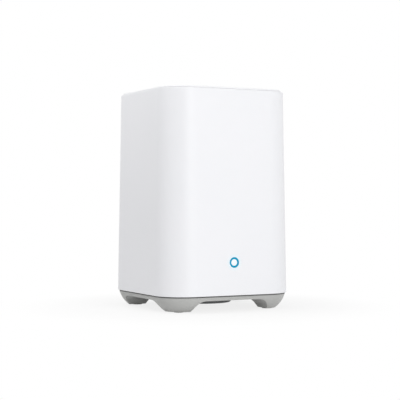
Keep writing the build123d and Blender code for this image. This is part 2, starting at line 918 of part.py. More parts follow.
def sync_button():
    """The round button in the rear panel: a dished cap, a flange behind the panel and a stem."""
    face = panel_place - button_inside
    flange_face = panel_inside - button_flange_gap
    flange_back = flange_face - button_flange_thickness
    cap = rod_y(button_radius, 0, (flange_face - button_flange_thickness / 2, face), sync_z)
    cap = fillet(cap.edges().group_by(Axis.Y)[-1], button_edge_radius)
    dish_radius = button_dish_share * button_radius
    ball = (dish_radius**2 + button_dish_depth**2) / (2 * button_dish_depth)
    cap -= Pos(0, face + ball - button_dish_depth, sync_z) * Sphere(ball)
    flange = rod_y(button_flange_radius, 0, (flange_back, flange_face), sync_z)
    stem_x = board_face + sync_axis_height
    stem_end = sync_face + sync_plunger_stand + button_touch_gap
    stem = rod_y(button_stem_radius, stem_x, (stem_end, flange_back + button_flange_thickness / 2), sync_z)
    return cap + flange + stem


def switch_plunger_hole(plunger_radius, axis_height, face, z, travel):
    """The hole in a switch for its plunger, deep enough for its travel."""
    y_ends = (face - plunger_root - travel - plunger_gap, face + overrun)
    return rod_y(plunger_radius + plunger_gap, board_face + axis_height, y_ends, z)


def sync_switch():
    """The switch that the sync button presses."""
    y_ends = (sync_face - sync_depth, sync_face)
    body = block((board_face, board_face + sync_height), y_ends, span(sync_z, sync_width))
    return body - switch_plunger_hole(
        sync_plunger_radius, sync_axis_height, sync_face, sync_z, sync_travel
    )


def sync_switch_plunger():
    """The moving plunger of the sync switch."""
    ends = (sync_face - plunger_root, sync_face + sync_plunger_stand)
    return rod_y(sync_plunger_radius, board_face + sync_axis_height, ends, sync_z)


def reset_switch():
    """The switch behind the pinhole."""
    y_ends = (reset_face - reset_depth, reset_face)
    body = block((board_face, board_face + reset_height), y_ends, span(reset_z, reset_width))
    return body - switch_plunger_hole(
        reset_plunger_radius, reset_height / 2, reset_face, reset_z, reset_travel
    )


def reset_switch_plunger():
    """The moving plunger of the reset switch, which a straightened paper clip reaches."""
    ends = (reset_face - plunger_root, reset_face + reset_plunger_stand)
    return rod_y(reset_plunger_radius, board_face + reset_height / 2, ends, reset_z)


def microsd_card():
    """The memory card, pushed home in its socket."""
    return slab_x(card_x_ends, card_y_ends, span(card_z, card_width), card_corner_radius)


def microsd_socket():
    """The folded metal socket that the memory card slides into."""
    body = block(
        (board_face, card_x_ends[1] + card_gap + card_socket_wall),
        (board_rear - card_socket_depth, board_rear),
        span(card_z, card_socket_width),
    )
    slot = block(
        (card_x_ends[0] - card_gap, card_x_ends[1] + card_gap),
        (card_y_ends[0] - card_overtravel - card_gap, board_rear + overrun),
        span(card_z, card_width + 2 * card_gap),
    )
    return body - slot


def ethernet_ends():
    """The network socket's span on each axis."""
    rear = panel_place + ethernet_proud
    return (
        (board_face, board_face + ethernet_height),
        (rear - ethernet_depth, rear),
        span(ethernet_z, ethernet_width),
    )


def ethernet_cavity():
    """The space for the plug, open to the rear, with the stepped groove for its latch."""
    x_ends, y_ends, z_ends = ethernet_ends()
    plug_x = x_ends[0] + ethernet_plug_low
    y_cut = (y_ends[1] - ethernet_plug_depth, y_ends[1] + overrun)
    latch_x = plug_x - ethernet_latch_height
    key_x = latch_x - ethernet_key_height
    plug_end = plug_x + ethernet_plug_height
    space = block((plug_x, plug_end), y_cut, span(ethernet_z, ethernet_plug_width))
    space += block((latch_x, plug_end), y_cut, span(ethernet_z, ethernet_latch_width))
    space += block((key_x, plug_end), y_cut, span(ethernet_z, ethernet_key_width))
    return space


def ethernet_light_blocks():
    """Where the network socket's two small lamps sit, in its upper and lower front corners."""
    x_ends, y_ends, z_ends = ethernet_ends()
    low = x_ends[0] + ethernet_metal + ethernet_light_inset
    x_light = (low, low + ethernet_light_width)
    y_light = (y_ends[1] - ethernet_light_depth, y_ends[1])
    border = ethernet_metal + ethernet_light_inset + ethernet_light_length / 2
    places = (z_ends[0] + border, z_ends[1] - border)
    return [block(x_light, y_light, span(z, ethernet_light_length)) for z in places]


def ethernet_shell():
    """The network socket's bent metal shield, open at the rear."""
    x_ends, y_ends, z_ends = ethernet_ends()
    inner = (
        (x_ends[0] + ethernet_metal, x_ends[1] - ethernet_metal),
        (y_ends[0] + ethernet_metal, y_ends[1] + overrun),
        (z_ends[0] + ethernet_metal, z_ends[1] - ethernet_metal),
    )
    return block(x_ends, y_ends, z_ends) - block(*inner)


def ethernet_insert():
    """The black moulding in the shield that guides the plug."""
    x_ends, y_ends, z_ends = ethernet_ends()
    body = block(
        (x_ends[0] + ethernet_metal, x_ends[1] - ethernet_metal),
        (y_ends[0] + ethernet_metal, y_ends[1]),
        (z_ends[0] + ethernet_metal, z_ends[1] - ethernet_metal),
    )
    body -= ethernet_cavity()
    for lamp in ethernet_light_blocks():
        body -= lamp
    return body


def ethernet_contacts():
    """Eight gold springs that slant into the plug's space from the side away from the latch."""
    x_ends, y_ends, z_ends = ethernet_ends()
    root_x = x_ends[0] + ethernet_plug_low + ethernet_plug_height
    root_y = y_ends[1] - ethernet_plug_depth / 4
    tip_x = root_x - contact_reach
    tip_y = root_y - contact_length
    foot = contact_thickness * contact_length / contact_reach
    made = []
    for n in range(contact_count):
        z = ethernet_z + (n - (contact_count - 1) / 2) * contact_pitch
        outline = Polyline(
            (root_x, root_y, z),
            (root_x, root_y - foot, z),
            (tip_x + contact_thickness, tip_y, z),
            (tip_x, tip_y, z),
            close=True,
        )
        made.append(extrude(make_face(outline), contact_width / 2, both=True))
    return made


def usb_ends():
    """The charging socket's span on each axis."""
    rear = panel_place + usb_proud
    return (board_face, board_face + usb_width), (rear - usb_depth, rear), span(usb_z, usb_height)


def usb_shell():
    """The charging socket's folded metal shell, open at the rear."""
    x_ends, y_ends, z_ends = usb_ends()
    inner = (
        (x_ends[0] + usb_metal, x_ends[1] - usb_metal),
        (y_ends[0] + usb_metal, y_ends[1] + overrun),
        (z_ends[0] + usb_metal, z_ends[1] - usb_metal),
    )
    return block(x_ends, y_ends, z_ends) - block(*inner)


def usb_tongue_ends():
    """The tongue's span on each axis, from its root block to its tip."""
    x_ends, y_ends, z_ends = usb_ends()
    root = y_ends[0] + usb_metal + usb_root_length
    return (
        span(middle(x_ends), usb_tongue_width),
        (root, root + usb_tongue_length),
        span(usb_z + usb_tongue_offset, usb_tongue_thickness),
    )


def usb_tongue():
    """The plastic tongue in the charging socket and the block that holds it."""
    x_ends, y_ends, z_ends = usb_ends()
    tongue_ends = usb_tongue_ends()
    root = block(
        (x_ends[0] + usb_metal, x_ends[1] - usb_metal),
        (y_ends[0] + usb_metal, tongue_ends[1][0]),
        (z_ends[0] + usb_metal, z_ends[1] - usb_metal),
    )
    return root + block(*tongue_ends)


def usb_contacts():
    """Four gold strips on the tongue."""
    tongue_x, tongue_y, tongue_z = usb_tongue_ends()
    y_ends = (tongue_y[0], tongue_y[0] + usb_contact_length)
    z_ends = (tongue_z[0] - usb_contact_thickness, tongue_z[0])
    made = []
    for n in range(usb_contacts_in_row):
        x = middle(tongue_x) + (n - (usb_contacts_in_row - 1) / 2) * usb_contact_pitch
        made.append(block(span(x, usb_contact_width), y_ends, z_ends))
    return made


def power_jack():
    """The round power socket in its square body."""
    face = panel_inside - power_recess
    body = block(
        (board_face, board_face + power_height), (face - power_depth, face), span(power_z, power_width)
    )
    return body - rod_y(
        power_bore_radius, board_face + power_axis_height, (face - power_bore_depth, face + overrun), power_z
    )


def power_jack_pin():
    """The power socket's centre pin, with a round nose."""
    face = panel_inside - power_recess
    root = face - power_bore_depth
    pin = rod_y(power_pin_radius, board_face + power_axis_height, (root, root + power_pin_length), power_z)
    return fillet(pin.edges().group_by(Axis.Y)[-1], power_pin_radius / 2)


def main_board():
    """The main circuit board, standing on edge with its rear edge behind the panel."""
    board = slab_x(
        (board_back, board_face), (-board_front, board_rear), (board_low, board_top), board_radius
    )
    for y, z in board_screw_places:
        board -= rod_x(
            small_screw_shank_radius + screw_hole_gap,
            (board_back - overrun, board_face + overrun), y, z,
        )
    return board


def board_screws():
    """Four screws that hold the main board to the chassis."""
    screw = small_screw(board_thickness + board_screw_bite)
    facing = Rot(0, quarter_turn, 0)
    return [Pos(board_face, y, z) * facing * screw for y, z in board_screw_places]


def chassis():
    """The inner frame: a floor on four posts, an upright plate, gussets and stand-offs."""
    floor = slab_z(
        span(0, case_width - 2 * chassis_side_border),
        (-chassis_floor_half, chassis_floor_half),
        (chassis_low, chassis_top),
        chassis_corner_radius,
    )
    for x, y in post_places:
        floor -= rod_z(
            small_screw_shank_radius + screw_hole_gap, x, y,
            (chassis_low - overrun, chassis_top + overrun),
        )
    plate_x = (chassis_plate_x - chassis_wall, chassis_plate_x)
    plate = block(plate_x, chassis_plate_ends, (chassis_low, chassis_plate_top))
    plate -= slab_x(
        (plate_x[0] - overrun, plate_x[1] + overrun),
        (chassis_plate_ends[0] + chassis_window_border, chassis_plate_ends[1] - chassis_window_border),
        chassis_window_ends,
        chassis_window_radius,
    )
    frame = floor + plate
    for sign in (-1, 1):
        y_outer = sign * (chassis_floor_half - gusset_inset)
        y_inner = y_outer - sign * chassis_wall
        face = make_face(
            Polyline(
                (plate_x[0], y_inner, chassis_top),
                (plate_x[0] - gusset_size, y_inner, chassis_top),
                (plate_x[0], y_inner, chassis_top + gusset_size),
                close=True,
            )
        )
        frame += extrude(face, chassis_wall, dir=(0, sign, 0))
    for y, z in board_screw_places:
        frame += rod_x(standoff_radius, (chassis_plate_x - chassis_wall, board_back), y, z)
        depth = board_screw_bite + hole_spare_depth
        frame -= rod_x(
            small_screw_shank_radius + screw_hole_gap, (board_back - depth, board_back + overrun), y, z
        )
    return frame


def chassis_screws():
    """Four screws that hold the chassis to the base's posts."""
    screw = small_screw(chassis_screw_length)
    return [Pos(x, y, chassis_top) * screw for x, y in post_places]


def processor():
    """The main chip."""
    x_ends = (board_face, board_face + processor_thickness)
    return block(x_ends, span(processor_y, processor_size), span(processor_z, processor_size))


def thermal_pad():
    """The soft sheet between the main chip and the heat sink."""
    low = board_face + processor_thickness
    x_ends = (low, low + pad_sheet_thickness)
    return block(x_ends, span(processor_y, processor_size), span(processor_z, processor_size))


def heat_sink():
    """A finned aluminium block on the main chip, its fins upright so that air can rise."""
    low = board_face + processor_thickness + pad_sheet_thickness
    z_ends = span(processor_z, heat_sink_length)
    sink = block((low, low + heat_sink_plate), span(processor_y, heat_sink_width), z_ends)
    for n in range(fin_count):
        y = processor_y + (n - (fin_count - 1) / 2) * fin_pitch
        sink += block((low, low + heat_sink_plate + fin_height), span(y, fin_thickness), z_ends)
    return sink


def memory_chips():
    """Two memory chips one above the other near the board's front edge."""
    x_ends = (board_face, board_face + memory_thickness)
    return [
        block(
            x_ends,
            span(memory_border - board_front, memory_width),
            span(board_low + (memory_low_share + n * memory_pitch_share) * board_height, memory_length),
        )
        for n in range(2)
    ]


def radio_shields():
    """Two thin metal cans over the radios, one either side of the board's middle."""
    cans = []
    for sign in (-1, 1):
        y_ends = span(sign * shield_y - shield_wall, shield_width)
        z_ends = span(shield_z, shield_length)
        can = block((board_face, board_face + shield_height), y_ends, z_ends)
        can -= block(
            (board_face - overrun, board_face + shield_height - shield_wall),
            (y_ends[0] + shield_wall, y_ends[1] - shield_wall),
            (z_ends[0] + shield_wall, z_ends[1] - shield_wall),
        )
        cans.append(can)
    return cans


def ethernet_transformer():
    """The block that isolates the network socket, in front of it on the board."""
    y_high = ethernet_ends()[1][0] - transformer_gap
    return block(
        (board_face, board_face + transformer_height),
        (y_high - transformer_width, y_high),
        span(ethernet_z, transformer_length),
    )


def power_parts():
    """The coil and the upright capacitors that smooth the supply."""
    z = board_low + power_parts_height
    coil = block(
        (board_face, board_face + inductor_height), span(inductor_y, inductor_size), span(z, inductor_size)
    )
    made = [coil]
    for n in range(capacitor_count):
        y = capacitor_y - n * capacitor_pitch
        made.append(rod_x(capacitor_radius, (board_face, board_face + capacitor_height), y, z))
    return made


def lead_sockets():
    """The small sockets that the leads plug into on both boards, as separate blocks."""
    x_ends = (board_face, board_face + lead_socket_height)
    siren = block(
        x_ends, span(lead_socket_y, lead_socket_width), span(siren_socket_z, lead_socket_length)
    )
    light_front = -board_front + port_gap / 2
    light = block(
        x_ends, (light_front, light_front + lead_socket_length), span(light_socket_z, lead_socket_width)
    )
    battery = block(
        (board_back - battery_socket_height, board_back),
        span(0, battery_socket_width),
        span(battery_socket_z, battery_socket_length),
    )
    back = light_board_front + board_thickness
    on_light_board = light_plane * Pos(lead_x, 0, -back - light_socket_depth / 2) * Box(
        light_socket_width, light_socket_length, light_socket_depth
    )
    coax = [
        rod_x(coax_socket_radius, (board_face, board_face + coax_socket_height), y, z)
        for y, z in coax_places.values()
    ]
    return [siren, light, battery, on_light_board, *coax]


def siren_cover():
    """The round cup under the base, with a slotted floor and a flange that rests on the base."""
    low_bore = (siren_floor_top, driver_seat - siren_step_height)
    cup = rod_z(siren_radius, 0, 0, (siren_bottom, clamp_low))
    cup = chamfer(cup.edges().group_by(Axis.Z)[0], siren_wall / 3)
    cup += rod_z(siren_flange_radius, 0, 0, (base_floor_top, clamp_low))
    cup -= rod_z(siren_radius - siren_wall, 0, 0, low_bore)
    cup -= rod_z(siren_step_radius, 0, 0, (siren_floor_top, driver_seat + overrun))
    cup -= rod_z(siren_radius - siren_wall, 0, 0, (driver_seat, clamp_low + overrun))
    for n in range(grille_slots):
        x = (n - (grille_slots - 1) / 2) * grille_pitch
        length = 2 * math.sqrt(grille_radius**2 - x**2)
        slot = extrude(SlotOverall(length, grille_slot_width), siren_floor + 2 * overrun)
        cup -= Pos(x, 0, siren_bottom - overrun) * Rot(0, 0, quarter_turn) * slot
    return cup


def siren_gasket():
    """The foam ring between the cup's step and the siren's frame."""
    ends = (driver_seat, driver_low)
    ring = rod_z(driver_radius, 0, 0, ends)
    return ring - rod_z(driver_radius - gasket_width, 0, 0, (ends[0] - overrun, ends[1] + overrun))


def siren_frame():
    """The pressed frame of the siren, facing down, with its terminal block."""
    neck = driver_low + driver_neck_height
    ring = turned(
        [
            (driver_rim_radius, driver_low),
            (driver_radius, driver_low),
            (driver_radius, driver_flange_top),
            (driver_rim_radius + driver_wall, driver_flange_top),
            (driver_rim_radius + driver_wall, neck + driver_wall / 2),
            (yoke_radius + 2 * driver_wall, driver_top),
            (yoke_radius + yoke_gap, driver_top),
            (yoke_radius + yoke_gap, driver_top - driver_wall),
            (yoke_radius + driver_wall, driver_top - driver_wall),
            (driver_rim_radius, neck),
        ]
    )
    terminal = block(
        span(0, terminal_length),
        span(-driver_rim_radius - driver_wall / 2, terminal_width),
        (driver_flange_top - driver_flange_thickness / 2, neck + terminal_height),
    )
    inside = rod_z(driver_rim_radius, 0, 0, (driver_low, neck + terminal_height + overrun))
    return ring + (terminal - inside)


def siren_yoke():
    """The steel cup that closes the magnet's field."""
    cup = rod_z(yoke_radius, 0, 0, (yoke_low, yoke_top))
    return cup - rod_z(yoke_radius - yoke_wall, 0, 0, (yoke_low - overrun, yoke_top - yoke_wall))


def siren_magnet():
    """The disc magnet in the cup."""
    return rod_z(magnet_radius, 0, 0, (yoke_low + pole_thickness, yoke_top - yoke_wall))


def siren_pole():
    """The steel disc on the magnet's open face."""
    return rod_z(pole_radius, 0, 0, (yoke_low, yoke_low + pole_thickness))


def siren_coil():
    """The coil that drives the cone, in the gap round the pole."""
    inner = pole_radius + coil_gap
    low, high = coil_ends
    ring = rod_z(inner + coil_thickness, 0, 0, (low, high))
    return ring - rod_z(inner, 0, 0, (low - overrun, high + overrun))


def siren_cone():
    """The siren's cone: a thin dish that hangs from the coil, with a dipped cap in its middle."""
    rim = driver_rim_radius - cone_rim_gap
    neck = pole_radius + coil_gap + coil_thickness
    top = coil_ends[0]
    bottom = top - cone_rise
    return turned(
        [
            (0, top - cone_dip),
            (neck - coil_thickness, top),
            (neck, top),
            (rim - driver_wall, bottom + cone_thickness),
            (rim, bottom + cone_thickness),
            (rim, bottom),
            (rim - driver_wall, bottom),
            (neck, top - cone_thickness),
            (0, top - cone_dip - cone_thickness),
        ]
    )


def siren_clamp():
    """The ring that holds the siren and its cup down on the base."""
    inner = driver_rim_radius + driver_wall + clamp_gap
    through = (driver_flange_top - overrun, clamp_top + overrun)
    ring = rod_z(siren_flange_radius, 0, 0, (clamp_low, clamp_top))
    arm = block(
        (siren_flange_radius / 2, clamp_ear_place), span(0, 2 * clamp_ear_radius), (clamp_low, clamp_top)
    )
    for angle, (x, y) in zip(clamp_ear_angles, clamp_ear_places):
        ring += Rot(0, 0, angle) * arm
        ring += rod_z(clamp_ear_radius, x, y, (clamp_low, clamp_top))
    ring -= rod_z(inner, 0, 0, through)
    terminal_room = terminal_length / 2 + clamp_gap
    ring -= block(
        (-terminal_room, terminal_room),
        (-driver_rim_radius - terminal_width, 0),
        through,
    )
    for x, y in clamp_ear_places:
        ring -= rod_z(small_screw_shank_radius + screw_hole_gap, x, y, through)
    return ring


def siren_screws():
    """Three screws through the clamp's ears into the base."""
    screw = small_screw(clamp_thickness + siren_flange_thickness + base_floor / 2)
    return [Pos(x, y, clamp_top) * screw for x, y in clamp_ear_places]


def battery_cell():
    """The round lithium cell, with its raised end on top."""
    cell = rod_z(battery_radius, battery_x, 0, battery_ends)
    nub_ends = (battery_ends[1] - overrun, battery_ends[1] + battery_nub_height)
    return cell + rod_z(battery_nub_radius, battery_x, 0, nub_ends)


def battery_cradle():
    """The trough on the chassis plate that holds the cell by half its round."""
    half = cradle_half_width
    face = chassis_plate_x - chassis_wall
    cradle = block((battery_x - cradle_cover, face), (-half, half), cradle_ends)
    pocket_ends = (cradle_ends[0] + cradle_wall, cradle_ends[1] - cradle_wall)
    cradle -= rod_z(battery_radius + battery_clearance, battery_x, 0, pocket_ends)
    return cradle


def battery_contacts():
    """The two spring plates that the cell's ends press on."""
    half = battery_contact_share * battery_radius
    x_ends = (battery_x - cradle_cover, battery_x + half)
    low = (cradle_ends[0] + cradle_wall, battery_ends[0])
    high = (battery_ends[1] + battery_nub_height, cradle_ends[1] - cradle_wall)
    return [block(x_ends, (-half, half), ends) for ends in (low, high)]


def battery_straps():
    """Two bands round the open side of the cell, seated on the trough's edges."""
    inner = battery_radius + battery_clearance / 2
    made = []
    for share in strap_places_share:
        z = battery_ends[0] + share * battery_length
        ends = span(z, strap_width)
        band = rod_z(inner + strap_thickness, battery_x, 0, ends)
        band -= rod_z(inner, battery_x, 0, (ends[0] - overrun, ends[1] + overrun))
        keep = block(
            (battery_x - 2 * battery_radius, battery_x - cradle_cover),
            span(0, 4 * battery_radius),
            ends,
        )
        made.append(band & keep)
    return made


def aerial_plane(side):
    """The inner face of a side wall, where an aerial is stuck."""
    return wall_plane(side, aerial_z) * Pos(0, 0, -sleeve_wall)


def antennas():
    """The two flat aerials on the inside of the side walls, each with a solder tab."""
    made = []
    for side in ("left", "right"):
        strip = Pos(0, 0, -aerial_thickness / 2) * Box(aerial_width, aerial_length, aerial_thickness)
        tab = Pos(0, 0, -aerial_thickness - aerial_tab_thickness / 2) * Box(
            aerial_tab_size, aerial_tab_size, aerial_tab_thickness
        )
        made.append(aerial_plane(side) * (strip + tab))
    return made


def light_lead():
    """The lead from the light board up and back to the main board's front edge."""
    back = light_board_front + board_thickness + light_socket_depth / 2
    start = light_plane.from_local_coords(Vector(lead_x, light_socket_length / 2, -back))
    above = light_plane.from_local_coords(Vector(lead_x, light_socket_z - light_z, -back))
    end_y = -board_front + port_gap / 2
    return lead([start, (lead_x, above.Y, light_socket_z), (lead_x, end_y, light_socket_z)], lead_radius)


def siren_lead():
    """The lead from the siren's terminals, past the chassis floor, up to the main board."""
    y = -driver_rim_radius - driver_wall
    start = driver_low + driver_neck_height + terminal_height
    under = chassis_low - 3 * lead_radius
    end_z = siren_socket_z - lead_socket_length / 2
    return lead(
        [
            (0, y, start),
            (0, y, under),
            (lead_x, lead_socket_y, under),
            (lead_x, lead_socket_y, end_z),
        ],
        lead_radius,
    )


def battery_leads():
    """The two wires from the trough's ends, through the chassis window, to the board's back."""
    z = battery_socket_z
    plug_x = board_back - battery_socket_height
    apart = 2 * battery_lead_radius
    side_y = -cradle_half_width - apart
    under = middle((chassis_top, cradle_ends[0]))
    upper = lead(
        [(battery_x, apart, cradle_ends[1]), (battery_x, apart, z), (plug_x, apart, z)],
        battery_lead_radius,
    )
    lower = lead(
        [
            (battery_x, side_y / 2, cradle_ends[0]),
            (battery_x, side_y / 2, under),
            (battery_x, side_y, under),
            (battery_x, side_y, z),
            (middle((battery_x, chassis_plate_x)), side_y, z),
            (plug_x - 4 * apart, -apart, z),
            (plug_x, -apart, z),
        ],
        battery_lead_radius,
    )
    return [upper, lower]


def aerial_lead_start(side, drop):
    """A point straight inwards of an aerial's solder tab."""
    depth = aerial_thickness + aerial_tab_thickness + drop
    place = wall_plane(side, aerial_z)
    return place.from_local_coords(Vector(0, 0, -sleeve_wall - depth))


def antenna_leads():
    """A thin coaxial lead from each aerial to its socket beside the radio cans."""
    plug_x = board_face + coax_socket_height / 2
    radius = aerial_lead_radius
    high = board_top + 2 * port_gap
    made = []
    for side in ("left", "right"):
        tab = aerial_lead_start(side, 0)
        clear = aerial_lead_start(side, 12 * radius)
        y, z = coax_places[side]
        made.append(
            lead(
                [
                    tab,
                    clear,
                    (middle((clear.X, plug_x)), y / 2, high),
                    (plug_x, y, high),
                    (plug_x, y, z + coax_socket_radius),
                ],
                radius,
            )
        )
    return made


pieces = {
    "outer_shell": outer_shell,
    "top_cap": top_cap,
    "base": base,
    "foot_pads": foot_pads,
    "base_screws": base_screws,
    "port_panel": port_panel,
    "panel_screws": panel_screws,
    "status_light_guide": status_light_guide,
    "status_light_core": status_light_core,
    "light_board": light_board,
    "light_emitters": light_emitters,
    "light_board_screws": light_board_screws,
    "light_lead": light_lead,
    "sync_button": sync_button,
    "sync_switch": sync_switch,
    "sync_switch_plunger": sync_switch_plunger,
    "reset_switch": reset_switch,
    "reset_switch_plunger": reset_switch_plunger,
    "microsd_card": microsd_card,
    "microsd_socket": microsd_socket,
    "ethernet_shell": ethernet_shell,
    "ethernet_insert": ethernet_insert,
    "ethernet_contacts": ethernet_contacts,
    "ethernet_lights": ethernet_light_blocks,
    "usb_shell": usb_shell,
    "usb_tongue": usb_tongue,
    "usb_contacts": usb_contacts,
    "power_jack": power_jack,
    "power_jack_pin": power_jack_pin,
    "main_board": main_board,
    "board_screws": board_screws,
    "chassis": chassis,
    "chassis_screws": chassis_screws,
    "processor": processor,
    "thermal_pad": thermal_pad,
    "heat_sink": heat_sink,
    "memory_chips": memory_chips,
    "radio_shields": radio_shields,
    "ethernet_transformer": ethernet_transformer,
    "power_parts": power_parts,
    "lead_sockets": lead_sockets,
    "siren_cover": siren_cover,
    "siren_gasket": siren_gasket,
    "siren_frame": siren_frame,
    "siren_yoke": siren_yoke,
    "siren_magnet": siren_magnet,
    "siren_pole": siren_pole,
    "siren_coil": siren_coil,
    "siren_cone": siren_cone,
    "siren_clamp": siren_clamp,
    "siren_screws": siren_screws,
    "siren_lead": siren_lead,
    "battery_cell": battery_cell,
    "battery_cradle": battery_cradle,
    "battery_contacts": battery_contacts,
    "battery_straps": battery_straps,
    "battery_leads": battery_leads,
    "antennas": antennas,
    "antenna_leads": antenna_leads,
}

os.makedirs("parts", exist_ok=True)
for name, make in pieces.items():
    made = make()
    solids = []
    for shape in made if isinstance(made, list) else [made]:
        solids.extend(shape.solids())
    export_step(Compound(children=solids), f"parts/{name}.step")
    print(name, len(solids))
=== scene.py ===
"""The looks of a security camera base station: finishes, smooth mouldings, studio and camera.

A tall white sleeve with a rounded square section stands on a grey base with four feet, under a
white lid. A ring light glows low on the front, and the sockets lie in a window at the rear.
X runs to the right as seen from the front, the front faces -Y, Z is up, and lengths are metres.
"""

import json
import math

import bmesh
import bpy
import numpy as np
from mathutils import Matrix, Vector

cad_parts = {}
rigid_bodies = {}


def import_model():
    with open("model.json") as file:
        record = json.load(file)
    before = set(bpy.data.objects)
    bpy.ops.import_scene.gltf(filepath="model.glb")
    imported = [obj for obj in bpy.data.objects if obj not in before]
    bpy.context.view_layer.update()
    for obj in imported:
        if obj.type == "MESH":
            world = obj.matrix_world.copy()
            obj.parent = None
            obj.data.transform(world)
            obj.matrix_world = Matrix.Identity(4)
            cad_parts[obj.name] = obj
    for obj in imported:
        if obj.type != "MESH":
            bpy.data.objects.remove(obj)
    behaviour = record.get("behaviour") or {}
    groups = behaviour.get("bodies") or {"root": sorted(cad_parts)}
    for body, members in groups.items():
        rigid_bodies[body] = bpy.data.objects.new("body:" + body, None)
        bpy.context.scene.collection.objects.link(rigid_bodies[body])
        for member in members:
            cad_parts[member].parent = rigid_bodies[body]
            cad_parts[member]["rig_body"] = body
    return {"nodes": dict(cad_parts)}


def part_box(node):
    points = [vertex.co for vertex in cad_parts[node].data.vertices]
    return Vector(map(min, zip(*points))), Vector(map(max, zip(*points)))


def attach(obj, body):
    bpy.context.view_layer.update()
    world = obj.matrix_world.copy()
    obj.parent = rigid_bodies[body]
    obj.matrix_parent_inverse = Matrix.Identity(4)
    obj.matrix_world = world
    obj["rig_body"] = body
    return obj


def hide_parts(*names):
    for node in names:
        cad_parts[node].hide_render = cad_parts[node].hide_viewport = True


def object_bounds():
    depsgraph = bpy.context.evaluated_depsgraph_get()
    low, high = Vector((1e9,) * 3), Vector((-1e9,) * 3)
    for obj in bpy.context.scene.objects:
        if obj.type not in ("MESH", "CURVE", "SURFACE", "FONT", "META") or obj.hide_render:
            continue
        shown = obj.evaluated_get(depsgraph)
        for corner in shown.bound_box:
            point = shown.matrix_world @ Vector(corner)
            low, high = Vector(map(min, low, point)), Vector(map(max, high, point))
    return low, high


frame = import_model()
cad_low, cad_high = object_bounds()

MM = 0.001
CORNERS = ((-1, -1), (-1, 1), (1, -1), (1, 1))

# The camera, level with the middle of the sleeve and turned towards the front's left corner
CAMERA_PLACE = Vector((-0.339, -0.659, 0.0681))
CAMERA_HEADING = math.radians(27.18)
CAMERA_LENS = 103.7
CAMERA_SENSOR = 36.0

# The case, as far as its boxes don't give it
FOOT_HEIGHT = 10.0 * MM
CORNER_RADIUS = 19.0 * MM
DRAFT_SLOPE = math.tan(math.radians(0.975))
SLEEVE_WALL = 2.2 * MM
# The seam's height, and the reach of the painted shade round it on the base's colour
SEAM_HEIGHT = 9.6 * MM
SEAM_SHADE_REACH = 0.65 * MM
SLEEVE_TOP_EDGE = 0.5 * MM
SLEEVE_FOOT_EDGE = 0.2 * MM
LID_LIP = 1.1 * MM
LID_SEAT_DEPTH = 2.2 * MM
LID_GAP = 0.2 * MM
LID_EDGE = 0.65 * MM
LID_LINE_HEIGHT = 0.2 * MM
LID_LINE_DEPTH = 0.6 * MM
LID_CROWN = 0.25 * MM
LID_PLATE = 2.0 * MM
LID_SKIRT_WALL = 1.2 * MM
WINDOW_WIDTH = 30.0 * MM
WINDOW_RADIUS = 4.0 * MM
WINDOW_FRAME = 1.6 * MM
PANEL_BORDER = 2.0 * MM
PANEL_GAP = 0.2 * MM

# What holds the base, the socket panel, the light board and the lid inside the sleeve
BASE_BOSS_PLACE = 30.9 * MM
BASE_BOSS_RADIUS = 3.2 * MM
BASE_BOSS_TOP = 25.0 * MM
BASE_HOLE_RADIUS = 1.3 * MM
BASE_HOLE_TOP = 18.6 * MM
RIB_LOW = 16.05 * MM
RIB_THICKNESS = 1.4 * MM
PANEL_BOSS_BORDER = 4.5 * MM
PANEL_BOSS_INSET = 6.0 * MM
PANEL_BOSS_RADIUS = 2.2 * MM
LIGHT_BOSS_PLACE = 9.8 * MM
LIGHT_BOSS_RADIUS = 2.0 * MM
LIGHT_BOARD_FRONT = 4.1 * MM
SMALL_HOLE_RADIUS = 0.95 * MM
SMALL_HOLE_DEPTH = 2.7 * MM
CATCH_LENGTH = 12.0 * MM
CATCH_HEIGHT = 1.2 * MM
CATCH_REACH = 0.5 * MM
CATCH_DROP = 5.2 * MM

# The ring light in the front wall
LIGHT_RADIUS = 3.2 * MM
LIGHT_BAND = 1.15 * MM
LIGHT_GAP = 0.05 * MM
LIGHT_FLANGE_RADIUS = 4.6 * MM
LIGHT_FLANGE = 1.0 * MM
LIGHT_CROWN = 0.12 * MM
LIGHT_CENTRE_RECESS = 0.1 * MM
# Painted light round the ring: the reach of the blue glow painted on the sleeve, and its share at the
# bore
PAINTED_GLOW_REACH = 2.6 * MM
PAINTED_GLOW_SHARE = 0.7

# The rubber pads under the feet
PAD_RADIUS = 3.2 * MM
PAD_EDGE = 0.3 * MM
PAD_GROOVE_DEPTH = 0.18 * MM
PAD_GROOVES = 3

# The studio: places in metres, powers in watts, and the floor's share of plain white by distance
SURROUND_LEVEL = 0.55
KEY_PLACE = (0.18, -1.28, 0.42)
KEY_SIZE = 0.8
KEY_POWER = 7.3
LEFT_PLACE = (-0.22, 0.03, 0.34)
LEFT_TARGET = (-0.04, 0.0, 0.12)
LEFT_SIZE = 0.15
LEFT_POWER = 0.32
FLOOR_RADIUS = 3.0
FLOOR_RINGS = 24
FADE_START = 0.05
FADE_END = 0.13
FADE_LEAST = 0.82

# How finely the surfaces are drawn
CORNER_STEPS = 20
SIDE_STEPS = 14
WALL_STEPS = 28
EDGE_STEPS = 5
ROUND_STEPS = 96
ROD_STEPS = 32
GROOVE_STEPS = 12
SHARP_ANGLE = math.radians(32)
NORMAL_WEIGHT = 80
MERGE_REACH = 0.0005 * MM
THIN_REACH = 0.0002 * MM

# A wave texture's bands run this many radians over a unit of scaled length
WAVE_RADIANS = 20.0


# Camera

def make_camera():
    """A level camera at the photograph's place, looking along its heading."""
    data = bpy.data.cameras.new("camera")
    data.lens = CAMERA_LENS
    data.sensor_width = CAMERA_SENSOR
    data.clip_start = 0.01
    data.clip_end = 50.0
    camera = bpy.data.objects.new("camera", data)
    camera.location = CAMERA_PLACE
    camera.rotation_euler = (math.pi / 2, 0.0, -CAMERA_HEADING)
    bpy.context.scene.collection.objects.link(camera)
    bpy.context.scene.camera = camera


make_camera()


# Node helpers

